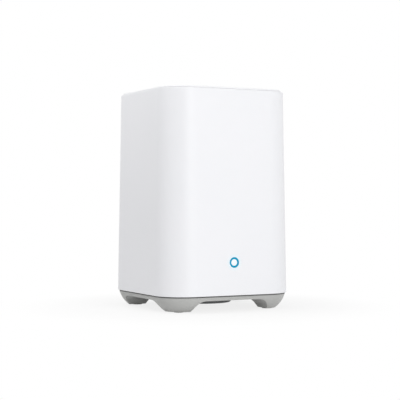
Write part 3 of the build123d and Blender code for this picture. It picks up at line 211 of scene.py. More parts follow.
def linear(colour):
    """The linear RGBA of an sRGB hex colour.

    A channel c becomes c / 12.92 up to 0.04045, and ((c + 0.055) / 1.055) ** 2.4 above."""
    channels = [int(colour[n:n + 2], 16) / 255 for n in (1, 3, 5)]
    values = [c / 12.92 if c <= 0.04045 else ((c + 0.055) / 1.055) ** 2.4 for c in channels]
    return (*values, 1.0)


def add(tree, kind, inputs=None, **settings):
    """Adds a node, with its settings, and its inputs as plain values or as sockets to link from."""
    node = tree.nodes.new("ShaderNode" + kind)
    for name, value in settings.items():
        setattr(node, name, value)
    for name, value in (inputs or {}).items():
        if isinstance(value, bpy.types.NodeSocket):
            tree.links.new(value, node.inputs[name])
        else:
            node.inputs[name].default_value = value
    return node


def new_material(name):
    """An empty material with its output and the socket that reads Object coordinates."""
    material = bpy.data.materials.new(name)
    material.use_nodes = True
    tree = material.node_tree
    tree.nodes.clear()
    output = add(tree, "OutputMaterial")
    place = add(tree, "TexCoord").outputs["Object"]
    return material, tree, output, place


def per_metre(millimetres):
    """A noise scale whose features are about this many millimetres across."""
    return 1.0 / (millimetres * MM)


def moulding(
    name, colour, shade, roughness, ior=1.53, mottle=18.0, grain=0.5, relief=0.006, coat=0.0
):
    """A moulded, cast or laminated surface: a slow drift of colour over a fine grain.

    The grain shows in roughness and relief. mottle and grain are sizes and relief is the grain's
    depth, all in millimetres. The roughness strays from its middle value by a tenth."""
    material, tree, output, place = new_material(name)
    drift = add(tree, "TexNoise", {"Vector": place, "Scale": per_metre(mottle), "Detail": 2.0})
    mix = add(tree, "Mix", {"Factor": drift.outputs["Fac"]}, data_type="RGBA")
    mix.inputs["A"].default_value = linear(colour)
    mix.inputs["B"].default_value = linear(shade)
    fine = add(tree, "TexNoise", {"Vector": place, "Scale": per_metre(grain), "Detail": 3.0})
    rough = add(
        tree, "MapRange",
        {"Value": fine.outputs["Fac"], "To Min": 0.9 * roughness, "To Max": 1.1 * roughness},
    )
    bump = add(tree, "Bump", {"Height": fine.outputs["Fac"], "Distance": relief * MM})
    shader = add(
        tree, "BsdfPrincipled",
        {
            "Base Color": mix.outputs["Result"],
            "Roughness": rough.outputs["Result"],
            "Normal": bump.outputs["Normal"],
            "IOR": ior,
            "Coat Weight": coat,
        },
    )
    tree.links.new(shader.outputs["BSDF"], output.inputs["Surface"])
    return material


def metal(name, colour, shade, roughness, grain=0.3, stretch=(1.0, 1.0, 8.0), relief=0.002):
    """A metal surface: colour, roughness and relief follow one grain, drawn out by stretch.

    grain is the width of a grain line and relief its depth, both in millimetres. stretch is how
    many times longer the grain is along each axis."""
    material, tree, output, place = new_material(name)
    drawn = add(tree, "Mapping", {"Vector": place, "Scale": tuple(1.0 / s for s in stretch)})
    fine = add(
        tree, "TexNoise", {"Vector": drawn.outputs["Vector"], "Scale": per_metre(grain), "Detail": 2.0}
    )
    mix = add(tree, "Mix", {"Factor": fine.outputs["Fac"]}, data_type="RGBA")
    mix.inputs["A"].default_value = linear(colour)
    mix.inputs["B"].default_value = linear(shade)
    rough = add(
        tree, "MapRange",
        {"Value": fine.outputs["Fac"], "To Min": 0.8 * roughness, "To Max": 1.2 * roughness},
    )
    bump = add(tree, "Bump", {"Height": fine.outputs["Fac"], "Distance": relief * MM})
    shader = add(
        tree, "BsdfPrincipled",
        {
            "Base Color": mix.outputs["Result"],
            "Metallic": 1.0,
            "Roughness": rough.outputs["Result"],
            "Normal": bump.outputs["Normal"],
        },
    )
    tree.links.new(shader.outputs["BSDF"], output.inputs["Surface"])
    return material


def parts_of(material):
    """A moulding's node tree, its shader and its socket of Object coordinates."""
    tree = material.node_tree
    shader = next(n for n in tree.nodes if n.type == "BSDF_PRINCIPLED")
    place = next(n for n in tree.nodes if n.type == "TEX_COORD").outputs["Object"]
    return tree, shader, place


def shade_over(tree, shader, amount, colour):
    """Mixes a colour over a shader's own colour by an amount from 0 to 1."""
    mix = add(tree, "Mix", {"Factor": amount}, data_type="RGBA")
    tree.links.new(shader.inputs["Base Color"].links[0].from_socket, mix.inputs["A"])
    mix.inputs["B"].default_value = linear(colour)
    tree.links.new(mix.outputs["Result"], shader.inputs["Base Color"])


# Finishes of the case

def white_abs():
    """White ABS, injection moulded in a spark-eroded tool: satin, with a grain too fine to see.

    Round the ring light a pale blue glow is painted into the wall's colour, fading out over 2.6 mm:
    painted light from the ring. The grain of about 0.1 mm is drawn at 0.6 mm, so that it shows at all."""
    material = moulding("white_abs_moulded", "#F1F1F4", "#EEEFF2", 0.42, 1.53, 40.0, 0.6, 0.003)
    tree, shader, place = parts_of(material)
    # Painted light: the ring's glow, a blue tint painted into the colour that fades with distance from
    # the light
    away = add(tree, "VectorMath", {0: place, 1: light_centre}, operation="DISTANCE")
    painted_glow = add(
        tree, "MapRange",
        {
            "Value": away.outputs["Value"],
            "From Min": LIGHT_RADIUS,
            "From Max": LIGHT_RADIUS + PAINTED_GLOW_REACH,
            "To Min": PAINTED_GLOW_SHARE,
            "To Max": 0.0,
        },
        interpolation_type="SMOOTHERSTEP",
    )
    shade_over(tree, shader, painted_glow.outputs["Result"], "#E2F4FB")
    return material


def lid_abs():
    """The lid's white ABS, moulded in the same satin as the sleeve, and painted a little lighter than
    the sleeve's white: painted light for the lid's rim, which catches more light.
    """
    # Painted light: a lighter copy of the sleeve's white
    return moulding("white_abs_lid_painted_lighter", "#F5F5F7", "#F2F3F5", 0.42, 1.53, 40.0, 0.6, 0.003)


def grey_abs():
    """Light grey ABS of the base, moulded matte: a little rougher, so that it shows no highlight.

    Painted shade darkens it in the seam under the sleeve and on the 0.4 mm below the seam, where
    the sleeve's overhang shades it."""
    material = moulding("grey_abs_moulded", "#BABAB8", "#B5B6B4", 0.55, mottle=25.0)
    tree, shader, place = parts_of(material)
    # Painted shade: the base's colour turns grey near the seam, where the sleeve's overhang shades it
    axes = add(tree, "SeparateXYZ", {"Vector": place})
    off = add(tree, "Math", {0: axes.outputs["Z"], 1: SEAM_HEIGHT}, operation="SUBTRACT")
    away = add(tree, "Math", {0: off.outputs["Value"]}, operation="ABSOLUTE")
    painted_seam_shade = add(
        tree, "MapRange",
        {
            "Value": away.outputs["Value"],
            "From Min": SEAM_SHADE_REACH / 2,
            "From Max": SEAM_SHADE_REACH,
            "To Min": 1.0,
            "To Max": 0.0,
        },
        interpolation_type="SMOOTHSTEP",
    )
    shade_over(tree, shader, painted_seam_shade.outputs["Result"], "#868684")
    return material


def panel_abs():
    """Grey ABS of the socket panel, with a fine eroded grain of 0.4 mm."""
    return moulding("panel_abs_moulded", "#A9AAAC", "#A5A6A8", 0.6, 1.53, 12.0, 0.4, 0.012)


def button_abs():
    """White ABS of the sync button, polished a little more than the sleeve."""
    return moulding("button_abs_moulded", "#E9EAEC", "#E5E6E9", 0.3, 1.53, 10.0, 0.4, 0.002)


def siren_abs():
    """Dark grey ABS of the siren's cup, moulded matte."""
    return moulding("siren_abs_moulded", "#7E7F81", "#77787B", 0.6, 1.53, 9.0, 0.4, 0.01)


def pad_rubber():
    """Grey rubber of the pads, moulded and dusty: no gloss, and a mealy surface at 0.6 mm."""
    return moulding("silicone_rubber_moulded", "#676766", "#737372", 0.85, 1.41, 4.0, 0.6, 0.02)


def lit_diffuser():
    """Clear blue-tinted acrylic lit from behind: it glows evenly, and its rims look darker.

    The colour deepens from the band's middle line to both its edges: painted light and shade, the
    glow painted brighter along the middle and darker at the rims."""
    material, tree, output, place = new_material("acrylic_diffuser_lit")
    away = add(tree, "VectorMath", {0: place, 1: light_centre}, operation="DISTANCE")
    middle = LIGHT_RADIUS - LIGHT_BAND / 2
    off = add(tree, "Math", {0: away.outputs["Value"], 1: middle}, operation="SUBTRACT")
    size = add(tree, "Math", {0: off.outputs["Value"]}, operation="ABSOLUTE")
    # Painted light and shade: the colour is lighter along the band's middle and darker towards its rims
    edge = add(
        tree, "MapRange",
        {"Value": size.outputs["Value"], "From Min": 0.0, "From Max": LIGHT_BAND / 2},
        interpolation_type="SMOOTHSTEP",
    )
    mix = add(tree, "Mix", {"Factor": edge.outputs["Result"]}, data_type="RGBA")
    mix.inputs["A"].default_value = linear("#006880")
    mix.inputs["B"].default_value = linear("#002A42")
    shader = add(
        tree, "BsdfPrincipled",
        {
            "Base Color": mix.outputs["Result"],
            "Roughness": 0.4,
            "Specular IOR Level": 0.05,
            "IOR": 1.49,
            "Emission Color": linear("#0088AD"),
            "Emission Strength": 0.9,
        },
    )
    tree.links.new(shader.outputs["BSDF"], output.inputs["Surface"])
    return material


def core_acrylic():
    """Opal acrylic in the middle of the ring: white, with a little light from the band round it."""
    material = moulding("acrylic_opal_moulded", "#F3F6F8", "#EFF4F7", 0.3, 1.49, 3.0, 0.4, 0.001)
    shader = parts_of(material)[1]
    shader.inputs["Emission Color"].default_value = linear("#BFE6F5")
    shader.inputs["Emission Strength"].default_value = 0.06
    return material


# Finishes of the sockets and the works

def black_nylon():
    """Black nylon of the sockets' inserts, moulded satin."""
    return moulding("nylon_black_moulded", "#141416", "#1A1A1C", 0.45, 1.53, 3.0, 0.3, 0.006)


def white_nylon():
    """Natural nylon of the lead sockets, moulded and slightly yellow."""
    return moulding("nylon_natural_moulded", "#E4E0D2", "#DDD8C8", 0.4, 1.53, 3.0, 0.3, 0.004)


def lamp_epoxy():
    """Clear green epoxy of the network socket's lamps, cast."""
    return moulding("epoxy_green_cast", "#9CC45C", "#8DB84E", 0.2, 1.55, 2.0, 0.4, 0.001, 0.3)


def emitter_epoxy():
    """Pale yellow phosphor epoxy of the six small lamps, cast in a white cup."""
    return moulding("epoxy_phosphor_cast", "#E9E2A8", "#DDD28A", 0.35, 1.55, 0.8, 0.2, 0.002)


def standing_plane(tree, place):
    """Coordinates for a pattern on an upright board: X plus Y along it, and Z up it."""
    axes = add(tree, "SeparateXYZ", {"Vector": place})
    along = add(tree, "Math", {0: axes.outputs["X"], 1: axes.outputs["Y"]}, operation="ADD")
    plane = add(tree, "CombineXYZ", {"X": along.outputs["Value"], "Y": axes.outputs["Z"]})
    return plane.outputs["Vector"]


def solder_mask():
    """Green solder mask over etched copper on glass epoxy, screen printed and cured to a soft gloss.

    Tracks show as lighter lines about 0.25 mm wide and 1.1 mm apart, in patches of 9 mm between
    poured copper, and vias as small rings 2.8 mm apart. The tracks are drawn twice as wide as real."""
    material, tree, output, place = new_material("board_mask_printed")
    plane = standing_plane(tree, place)
    tracks = add(
        tree, "TexBrick",
        {
            "Vector": plane,
            "Scale": 100.0,
            "Mortar Size": 0.013,
            "Mortar Smooth": 0.2,
            "Brick Width": 0.83,
            "Row Height": 0.11,
        },
    )
    patches = add(tree, "TexNoise", {"Vector": plane, "Scale": per_metre(9.0), "Detail": 1.0})
    routed = add(
        tree, "MapRange", {"Value": patches.outputs["Fac"], "From Min": 0.48, "From Max": 0.5}
    )
    shown = add(
        tree, "Math", {0: tracks.outputs["Fac"], 1: routed.outputs["Result"]}, operation="MULTIPLY"
    )
    cells = add(tree, "TexVoronoi", {"Vector": plane, "Scale": per_metre(2.8)}, feature="F1")
    vias = add(
        tree, "MapRange", {"Value": cells.outputs["Distance"], "From Min": 0.13, "From Max": 0.09}
    )
    raised = add(
        tree, "Math", {0: shown.outputs["Value"], 1: vias.outputs["Result"]}, operation="MAXIMUM"
    )
    mix = add(tree, "Mix", {"Factor": raised.outputs["Value"]}, data_type="RGBA")
    mix.inputs["A"].default_value = linear("#14552F")
    mix.inputs["B"].default_value = linear("#2F8A55")
    bump = add(tree, "Bump", {"Height": raised.outputs["Value"], "Distance": 0.03 * MM})
    shader = add(
        tree, "BsdfPrincipled",
        {
            "Base Color": mix.outputs["Result"],
            "Normal": bump.outputs["Normal"],
            "Roughness": 0.32,
            "IOR": 1.55,
        },
    )
    tree.links.new(shader.outputs["BSDF"], output.inputs["Surface"])
    return material


def aerial_film():
    """Amber polyimide film laminated over copper: a warm sheen, cloudy where the glue is thicker."""
    return moulding("polyimide_film_laminated", "#A9752B", "#8C5C1E", 0.3, 1.7, 5.0, 0.8, 0.004, 0.2)


def chip_epoxy():
    """Black epoxy of the chips, transfer moulded: matte, with specks of silica filler."""
    return moulding("chip_epoxy_moulded", "#1C1C1D", "#242426", 0.55, 1.55, 2.0, 0.2, 0.004)


def card_epoxy():
    """Black epoxy of the memory card, moulded smooth."""
    return moulding("card_epoxy_moulded", "#17181A", "#1C1D20", 0.4, 1.55, 4.0, 0.2, 0.002)


def chassis_abs():
    """Dark grey ABS with glass fibre, moulded: matte, with flow marks some 14 mm long."""
    return moulding("chassis_abs_moulded", "#38393B", "#424345", 0.6, 1.53, 14.0, 0.5, 0.01)


def gap_filler():
    """Blue-grey silicone gap filler, calendered sheet with a dry skin."""
    return moulding("silicone_sheet_calendered", "#7E8CA2", "#76849A", 0.8, 1.41, 2.0, 0.3, 0.01)


def foam():
    """Black polyurethane foam of the gasket, skived: open cells of 0.5 mm."""
    return moulding("foam_pu_skived", "#161617", "#242425", 0.95, 1.5, 1.5, 0.5, 0.12)


def cone_film():
    """Dark polyimide film of the siren's cone, pressed: a faint sheen over a smooth skin."""
    return moulding("polyimide_film_pressed", "#2A2320", "#332A24", 0.35, 1.7, 6.0, 0.8, 0.004)


def cell_sleeve():
    """Teal PVC shrink sleeve on the battery cell: glossy, with shallow ripples of 5 mm."""
    return moulding("pvc_sleeve_shrunk", "#2E6E8E", "#2A6684", 0.22, 1.53, 22.0, 5.0, 0.05)


def woven_strap():
    """Black polyester strap, woven: ribs across the band, one every 0.8 mm."""
    material, tree, output, place = new_material("polyester_strap_woven")
    ribs = add(
        tree, "TexWave",
        {
            "Vector": place,
            "Scale": math.tau * per_metre(0.8) / WAVE_RADIANS,
            "Distortion": 0.6,
            "Detail": 1.0,
        },
        wave_type="BANDS",
        bands_direction="Z",
    )
    mix = add(tree, "Mix", {"Factor": ribs.outputs["Fac"]}, data_type="RGBA")
    mix.inputs["A"].default_value = linear("#121213")
    mix.inputs["B"].default_value = linear("#232325")
    bump = add(tree, "Bump", {"Height": ribs.outputs["Fac"], "Distance": 0.08 * MM})
    shader = add(
        tree, "BsdfPrincipled",
        {"Base Color": mix.outputs["Result"], "Normal": bump.outputs["Normal"], "Roughness": 0.9},
    )
    tree.links.new(shader.outputs["BSDF"], output.inputs["Surface"])
    return material


def lead_pvc():
    """Black PVC insulation of the thin leads, extruded: smooth, with a dull gloss."""
    return moulding("pvc_black_extruded", "#161617", "#1D1D1F", 0.45, 1.53, 5.0, 0.5, 0.004)


def zinc_steel():
    """Zinc plated steel of the screws, cold formed: bright, slightly uneven."""
    return metal("steel_zinc_plated", "#C6C7C9", "#B4B6B9", 0.32, 0.4, (1.0, 1.0, 1.0), 0.003)


def tin_sheet():
    """Tin plated steel sheet of cans and shields, rolled: fine lines along the sheet."""
    return metal("steel_tin_rolled", "#D3D4D5", "#C5C6C8", 0.28, 0.25, (1.0, 1.0, 12.0), 0.002)


def gold_plate():
    """Gold plated bronze of the contacts, electroplated over a rolled strip."""
    return metal("bronze_gold_plated", "#E3BE6A", "#D2A94F", 0.25, 0.2, (1.0, 6.0, 1.0), 0.001)


def copper_wire():
    """Enamelled copper of the coil, wound: a ridge for each turn of 0.12 mm, drawn at 0.35 mm."""
    return metal("copper_enamelled_wound", "#B9683E", "#8E4A28", 0.35, 0.35, (20.0, 20.0, 1.0), 0.05)


def sink_aluminium():
    """Clear anodised aluminium of the heat sink, extruded: die lines along its fins."""
    return metal("aluminium_anodised_extruded", "#A9ACB0", "#9DA0A4", 0.42, 0.3, (1.0, 1.0, 20.0), 0.004)


def magnet_nickel():
    """Nickel plated neodymium of the magnet and its iron, barrel plated: dark and even."""
    return metal("neodymium_nickel_plated", "#8C8E92", "#7D7F83", 0.35, 0.5, (1.0, 1.0, 1.0), 0.002)


# Mesh helpers

def mesh_object(name, vertices, faces, material):
    """An object from an array of corners and a list or array of faces, in one material."""
    mesh = bpy.data.meshes.new(name)
    mesh.from_pydata(np.asarray(vertices).tolist(), [], [list(map(int, face)) for face in faces])
    mesh.materials.append(material)
    piece = bpy.data.objects.new(name, mesh)
    bpy.context.scene.collection.objects.link(piece)
    return piece


def grid_faces(rows, columns, rows_closed):
    """The quads of a grid that closes along its columns, and along its rows if asked."""
    row = np.arange(rows if rows_closed else rows - 1)[:, None]
    column = np.arange(columns)[None, :]
    after, beside = (row + 1) % rows, (column + 1) % columns
    quads = [
        row * columns + column,
        row * columns + beside,
        after * columns + beside,
        after * columns + column,
    ]
    return np.stack(np.broadcast_arrays(*quads), axis=-1).reshape(-1, 4)


def tidy_mesh(piece, outwards=True):
    """Merges doubles, drops what they leave without area, and turns the faces outwards if asked."""
    work = bmesh.new()
    work.from_mesh(piece.data)
    bmesh.ops.remove_doubles(work, verts=work.verts, dist=MERGE_REACH)
    bmesh.ops.dissolve_degenerate(work, edges=work.edges, dist=THIN_REACH)
    if outwards:
        bmesh.ops.recalc_face_normals(work, faces=work.faces)
    work.to_mesh(piece.data)
    work.free()


def smooth(piece):
    """Smooth shading that keeps edges sharper than SHARP_ANGLE, with flat faces kept flat."""
    mesh = piece.data
    for attribute in ("custom_normal", "sharp_edge", "sharp_face"):
        if attribute in mesh.attributes:
            mesh.attributes.remove(mesh.attributes[attribute])
    mesh.shade_smooth()
    mesh.set_sharp_from_angle(angle=SHARP_ANGLE)
    weighted = piece.modifiers.new("even_normals", "WEIGHTED_NORMAL")
    weighted.keep_sharp = True
    weighted.weight = NORMAL_WEIGHT


def settle(piece, node):
    """Puts a new piece in place of a CAD node: it rides where the node does, and the node is hidden."""
    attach(piece, frame["nodes"][node]["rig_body"])
    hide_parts(node)


def arc(centre, radius, start, end):
    """Points on an arc in the (radius, height) plane, from one angle to another in degrees."""
    angle = np.radians(np.linspace(start, end, EDGE_STEPS + 1))
    return np.stack([centre[0] + radius * np.cos(angle), centre[1] + radius * np.sin(angle)], axis=-1)


def square_round():
    """Points and outward directions round a square outline whose corners turn through a quarter.

    The points lie on the square that joins the corners' centre lines. At a corner the point stays
    and its direction turns. Point plus radius times direction is a rounded square."""
    corners = np.array([(1, 1), (-1, 1), (-1, -1), (1, -1)], float)
    points, directions = [], []
    for n, corner in enumerate(corners):
        angle = np.radians(90 * n) + np.linspace(0, np.pi / 2, CORNER_STEPS + 1)
        points.append(np.repeat(corner[None, :], CORNER_STEPS + 1, axis=0))
        directions.append(np.stack([np.cos(angle), np.sin(angle)], axis=-1))
        share = np.linspace(0, 1, SIDE_STEPS + 1)[1:-1, None]
        points.append(corner + share * (corners[(n + 1) % 4] - corner))
        directions.append(np.repeat(directions[-1][-1:], SIDE_STEPS - 1, axis=0))
    return np.concatenate(points), np.concatenate(directions)


def square_shell(name, spread, radius, height, closed, material):
    """A surface with rounded square rings: ring(v) = spread(v) * square + radius(v) * direction.

    spread, radius and height are arrays along the profile. The profile closes on itself, or else
    starts and ends in a pole."""
    square, direction = square_round()
    core = np.array([straight_x, straight_y])
    flat = spread[:, None, None] * core * square[None] + radius[:, None, None] * direction[None]
    tall = np.broadcast_to(height[:, None, None], flat.shape[:2] + (1,))
    points = np.concatenate([flat, tall], axis=-1).reshape(-1, 3)
    faces = grid_faces(len(height), len(square), closed)
    piece = mesh_object(name, points, faces, material)
    tidy_mesh(piece)
    return piece


def turned(name, profile, closed, matrix, material, steps=ROUND_STEPS):
    """A ring or disc: its (radius, height) profile turned about Z and then placed by a matrix."""
    profile = np.asarray(profile)
    angle = np.linspace(0, 2 * np.pi, steps, endpoint=False)
    x = profile[:, 0, None] * np.cos(angle)
    y = profile[:, 0, None] * np.sin(angle)
    z = np.broadcast_to(profile[:, 1, None], x.shape)
    points = np.stack([x, y, z], axis=-1).reshape(-1, 3)
    piece = mesh_object(name, points, grid_faces(len(profile), steps, closed), material)
    tidy_mesh(piece)
    piece.data.transform(matrix)
    return piece


def rod(radius, low, high, matrix, steps=ROD_STEPS):
    """A round bar about Z between two heights, placed by a matrix."""
    profile = [(0.0, low), (radius, low), (radius, high), (0.0, high)]
    return turned("rod", profile, False, matrix, cutter_material, steps)


def together(name, parts, material):
    """Several pieces as one, in one material."""
    work = bmesh.new()
    for part in parts:
        work.from_mesh(part.data)
        bpy.data.objects.remove(part)
    mesh = bpy.data.meshes.new(name)
    work.to_mesh(mesh)
    work.free()
    mesh.materials.append(material)
    piece = bpy.data.objects.new(name, mesh)
    bpy.context.scene.collection.objects.link(piece)
    return piece


def round_outline(width, height, radius):
    """The outline of a rounded rectangle about the origin, its corners as quarter arcs."""
    parts = []
    for n, (sx, sy) in enumerate(((1, 1), (-1, 1), (-1, -1), (1, -1))):
        angle = np.radians(90 * n) + np.linspace(0, np.pi / 2, 2 * EDGE_STEPS + 1)
        centre = np.array([sx * (width / 2 - radius), sy * (height / 2 - radius)])
        parts.append(centre + radius * np.stack([np.cos(angle), np.sin(angle)], axis=-1))
    return np.concatenate(parts)


def prism(name, low, high):
    """A closed prism between two outlines with the same count of points."""
    count = len(low)
    ring = np.arange(count)
    beside = (ring + 1) % count
    sides = np.stack([ring, beside, beside + count, ring + count], axis=-1).tolist()
    faces = sides + [ring[::-1].tolist(), (ring + count).tolist()]
    piece = mesh_object(name, np.concatenate([low, high]), faces, cutter_material)
    tidy_mesh(piece)
    return piece


def combine(piece, tool, operation):
    """Joins a tool to a piece or cuts it away, and removes the tool."""
    change = piece.modifiers.new("combine", "BOOLEAN")
    change.object = tool
    change.operation = operation
    change.solver = "EXACT"
    evaluated = piece.evaluated_get(bpy.context.evaluated_depsgraph_get())
    mesh = bpy.data.meshes.new_from_object(evaluated)
    piece.modifiers.clear()
    piece.data = mesh
    bpy.data.objects.remove(tool)


def dressed(node, name, material):
    """A CAD node as one joined, smooth-shaded mesh with a finish of its own."""
    source = frame["nodes"][node]
    piece = bpy.data.objects.new(name, source.data.copy())
    bpy.context.scene.collection.objects.link(piece)
    tidy_mesh(piece, outwards=False)
    piece.data.materials.clear()
    piece.data.materials.append(material)
    smooth(piece)
    settle(piece, node)


# Places taken from the frame

shell_low, shell_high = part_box("outer_shell")
lid_low, lid_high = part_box("top_cap")
panel_low, panel_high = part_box("port_panel")
half_x, half_y = shell_high.x, shell_high.y
straight_x, straight_y = half_x - CORNER_RADIUS, half_y - CORNER_RADIUS
sleeve_top = shell_high.z
light_low, light_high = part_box("status_light_core")
light_z = (light_low.z + light_high.z) / 2
lean = math.atan(DRAFT_SLOPE)


def outer_radius(z):
    """The corner radius of the sleeve's outer face at a height: the walls lean inwards."""
    return CORNER_RADIUS - (z - FOOT_HEIGHT) * DRAFT_SLOPE


def front_face(z):
    """The sleeve's front face at a height."""
    return -(straight_y + outer_radius(z))


light_centre = Vector((0.0, front_face(light_z), light_z))
light_matrix = Matrix.Translation(light_centre) @ Matrix((
    (1.0, 0.0, 0.0, 0.0),
    (0.0, math.sin(lean), -math.cos(lean), 0.0),
    (0.0, math.cos(lean), math.sin(lean), 0.0),
    (0.0, 0.0, 0.0, 1.0),
))
cutter_material = bpy.data.materials.new("plain")


# The sleeve and its window

def sleeve_rods(over_feet, at_panel, at_light):
    """Bars for the sleeve's screws, with each kind given as its (radius, low, high) along the bar.

    Four stand over the feet. Four run out from the panel and two from the light board, each
    towards its wall. A high of None for the panel's bars means the middle of the wall."""
    turn_out = Matrix.Rotation(-math.pi / 2, 4, "X")
    parts = []
    for sx, sy in CORNERS:
        place = Matrix.Translation((sx * BASE_BOSS_PLACE, sy * BASE_BOSS_PLACE, 0.0))
        parts.append(rod(*over_feet, place))
        z = panel_high.z - PANEL_BORDER - PANEL_BOSS_INSET
        if sy < 0:
            z = panel_low.z + PANEL_BORDER + PANEL_BOSS_INSET
        x = sx * (WINDOW_WIDTH / 2 + PANEL_BOSS_BORDER)
        place = Matrix.Translation((x, panel_high.y, z)) @ turn_out
        radius, low, high = at_panel
        if high is None:
            high = straight_y + outer_radius(z) - SLEEVE_WALL / 2 - panel_high.y
        parts.append(rod(radius, low, high, place))
    for sign in (-1, 1):
        shift = Matrix.Translation((0.0, sign * LIGHT_BOSS_PLACE, -LIGHT_BOARD_FRONT))
        parts.append(rod(*at_light, light_matrix @ shift))
    return together("rods", parts, cutter_material)


def sleeve_ribs():
    """A rib from each boss over a foot out to the middle of its corner's wall."""
    parts = []
    for sx, sy in CORNERS:
        out = np.array([sx, sy]) / math.sqrt(2)
        aside = np.array([-sy, sx]) / math.sqrt(2) * RIB_THICKNESS / 2
        boss = np.array([sx, sy]) * BASE_BOSS_PLACE
        ends = []
        for z in (RIB_LOW, BASE_BOSS_TOP):
            reach = outer_radius(z) - SLEEVE_WALL / 2
            wall = np.array([sx * straight_x, sy * straight_y]) + reach * out
            flat = np.array([boss - aside, wall - aside, wall + aside, boss + aside])
            ends.append(np.column_stack([flat, np.full(4, z)]))
        parts.append(prism("rib", *ends))
    return together("ribs", parts, cutter_material)


def catches(inset, grow):
    """Four bars round the lid's skirt, one in the middle of each side, grown for their grooves."""
    z = sleeve_top - CATCH_DROP
    reach, tall = CATCH_REACH + grow, CATCH_HEIGHT / 2 + grow
    flat = np.array([(-1, -1), (1, -1), (1, 1), (-1, 1)], float)
    parts = []
    for n, straight in enumerate((straight_x, straight_y) * 2):
        turn = np.array([(np.cos(n * np.pi / 2), np.sin(n * np.pi / 2)),
                         (-np.sin(n * np.pi / 2), np.cos(n * np.pi / 2))])
        centre = np.array([straight + outer_radius(z) - inset, 0.0])
        outline = (centre + flat * (reach, CATCH_LENGTH / 2 + grow)) @ turn
        ends = [np.column_stack([outline, np.full(4, z + side)]) for side in (-tall, tall)]
        parts.append(prism("catch", *ends))
    return together("catches", parts, cutter_material)


def sleeve_profile():
    """The wall's section as (radius, height): round lower and upper edges and a seat for the lid."""
    foot, top, seat = FOOT_HEIGHT, sleeve_top, sleeve_top - LID_SEAT_DEPTH
    low_centre = (outer_radius(foot) - SLEEVE_FOOT_EDGE, foot + SLEEVE_FOOT_EDGE)
    low_edge = arc(low_centre, SLEEVE_FOOT_EDGE, -90, 0)
    high_centre = (outer_radius(top) - SLEEVE_TOP_EDGE, top - SLEEVE_TOP_EDGE)
    high_edge = arc(high_centre, SLEEVE_TOP_EDGE, 0, 90)
    climb = np.linspace(foot + 2 * SLEEVE_FOOT_EDGE, top - 2 * SLEEVE_TOP_EDGE, WALL_STEPS)
    outside = np.stack([outer_radius(climb), climb], axis=-1)
    lip = np.array([
        (outer_radius(top) - LID_LIP, top),
        (outer_radius(seat) - LID_LIP, seat),
        (outer_radius(seat) - SLEEVE_WALL, seat),
    ])
    fall = np.linspace(seat - LID_SEAT_DEPTH, foot, WALL_STEPS)
    inside = np.stack([outer_radius(fall) - SLEEVE_WALL, fall], axis=-1)
    return np.concatenate([low_edge, outside, high_edge, lip, inside])


def make_sleeve(material):
    """The white sleeve: its wall and bosses, the framed rear window and the light's hole."""
    profile = sleeve_profile()
    sleeve = square_shell("sleeve", np.ones(len(profile)), profile[:, 0], profile[:, 1], True, material)
    low, high = panel_low.z + PANEL_BORDER, panel_high.z - PANEL_BORDER
    middle, tall = (low + high) / 2, high - low
    start = panel_high.y + PANEL_GAP

    def wall_outline(grow, depth):
        """The window's outline, grown, at a depth along Y that may change with the height."""
        flat = round_outline(WINDOW_WIDTH + 2 * grow, tall + 2 * grow, WINDOW_RADIUS + grow)
        z = middle + flat[:, 1]
        return np.stack([flat[:, 0], np.broadcast_to(depth(z), z.shape), z], axis=-1)

    rim = prism(
        "rim",
        wall_outline(WINDOW_FRAME, lambda z: start),
        wall_outline(WINDOW_FRAME, lambda z: straight_y + outer_radius(z) - SLEEVE_WALL / 2),
    )
    combine(sleeve, rim, "UNION")
    bosses = sleeve_rods(
        (BASE_BOSS_RADIUS, shell_low.z, BASE_BOSS_TOP),
        (PANEL_BOSS_RADIUS, 0.0, None),
        (LIGHT_BOSS_RADIUS, 0.0, LIGHT_BOARD_FRONT - SLEEVE_WALL / 2),
    )
    combine(sleeve, bosses, "UNION")
    combine(sleeve, sleeve_ribs(), "UNION")
    small_hole = (SMALL_HOLE_RADIUS, -SMALL_HOLE_DEPTH, SMALL_HOLE_DEPTH)
    holes = sleeve_rods((BASE_HOLE_RADIUS, 0.0, BASE_HOLE_TOP), small_hole, small_hole)
    combine(sleeve, holes, "DIFFERENCE")
    combine(sleeve, catches(SLEEVE_WALL, LID_GAP), "DIFFERENCE")
    opening = prism(
        "opening",
        wall_outline(0.0, lambda z: start - PANEL_GAP),
        wall_outline(0.0, lambda z: half_y + PANEL_BORDER),
    )
    combine(sleeve, opening, "DIFFERENCE")
    reach = 2 * SLEEVE_WALL
    bore = rod(LIGHT_RADIUS + LIGHT_GAP, -reach, reach, light_matrix, ROUND_STEPS)
    combine(sleeve, bore, "DIFFERENCE")
    tidy_mesh(sleeve)
    smooth(sleeve)
    settle(sleeve, "outer_shell")


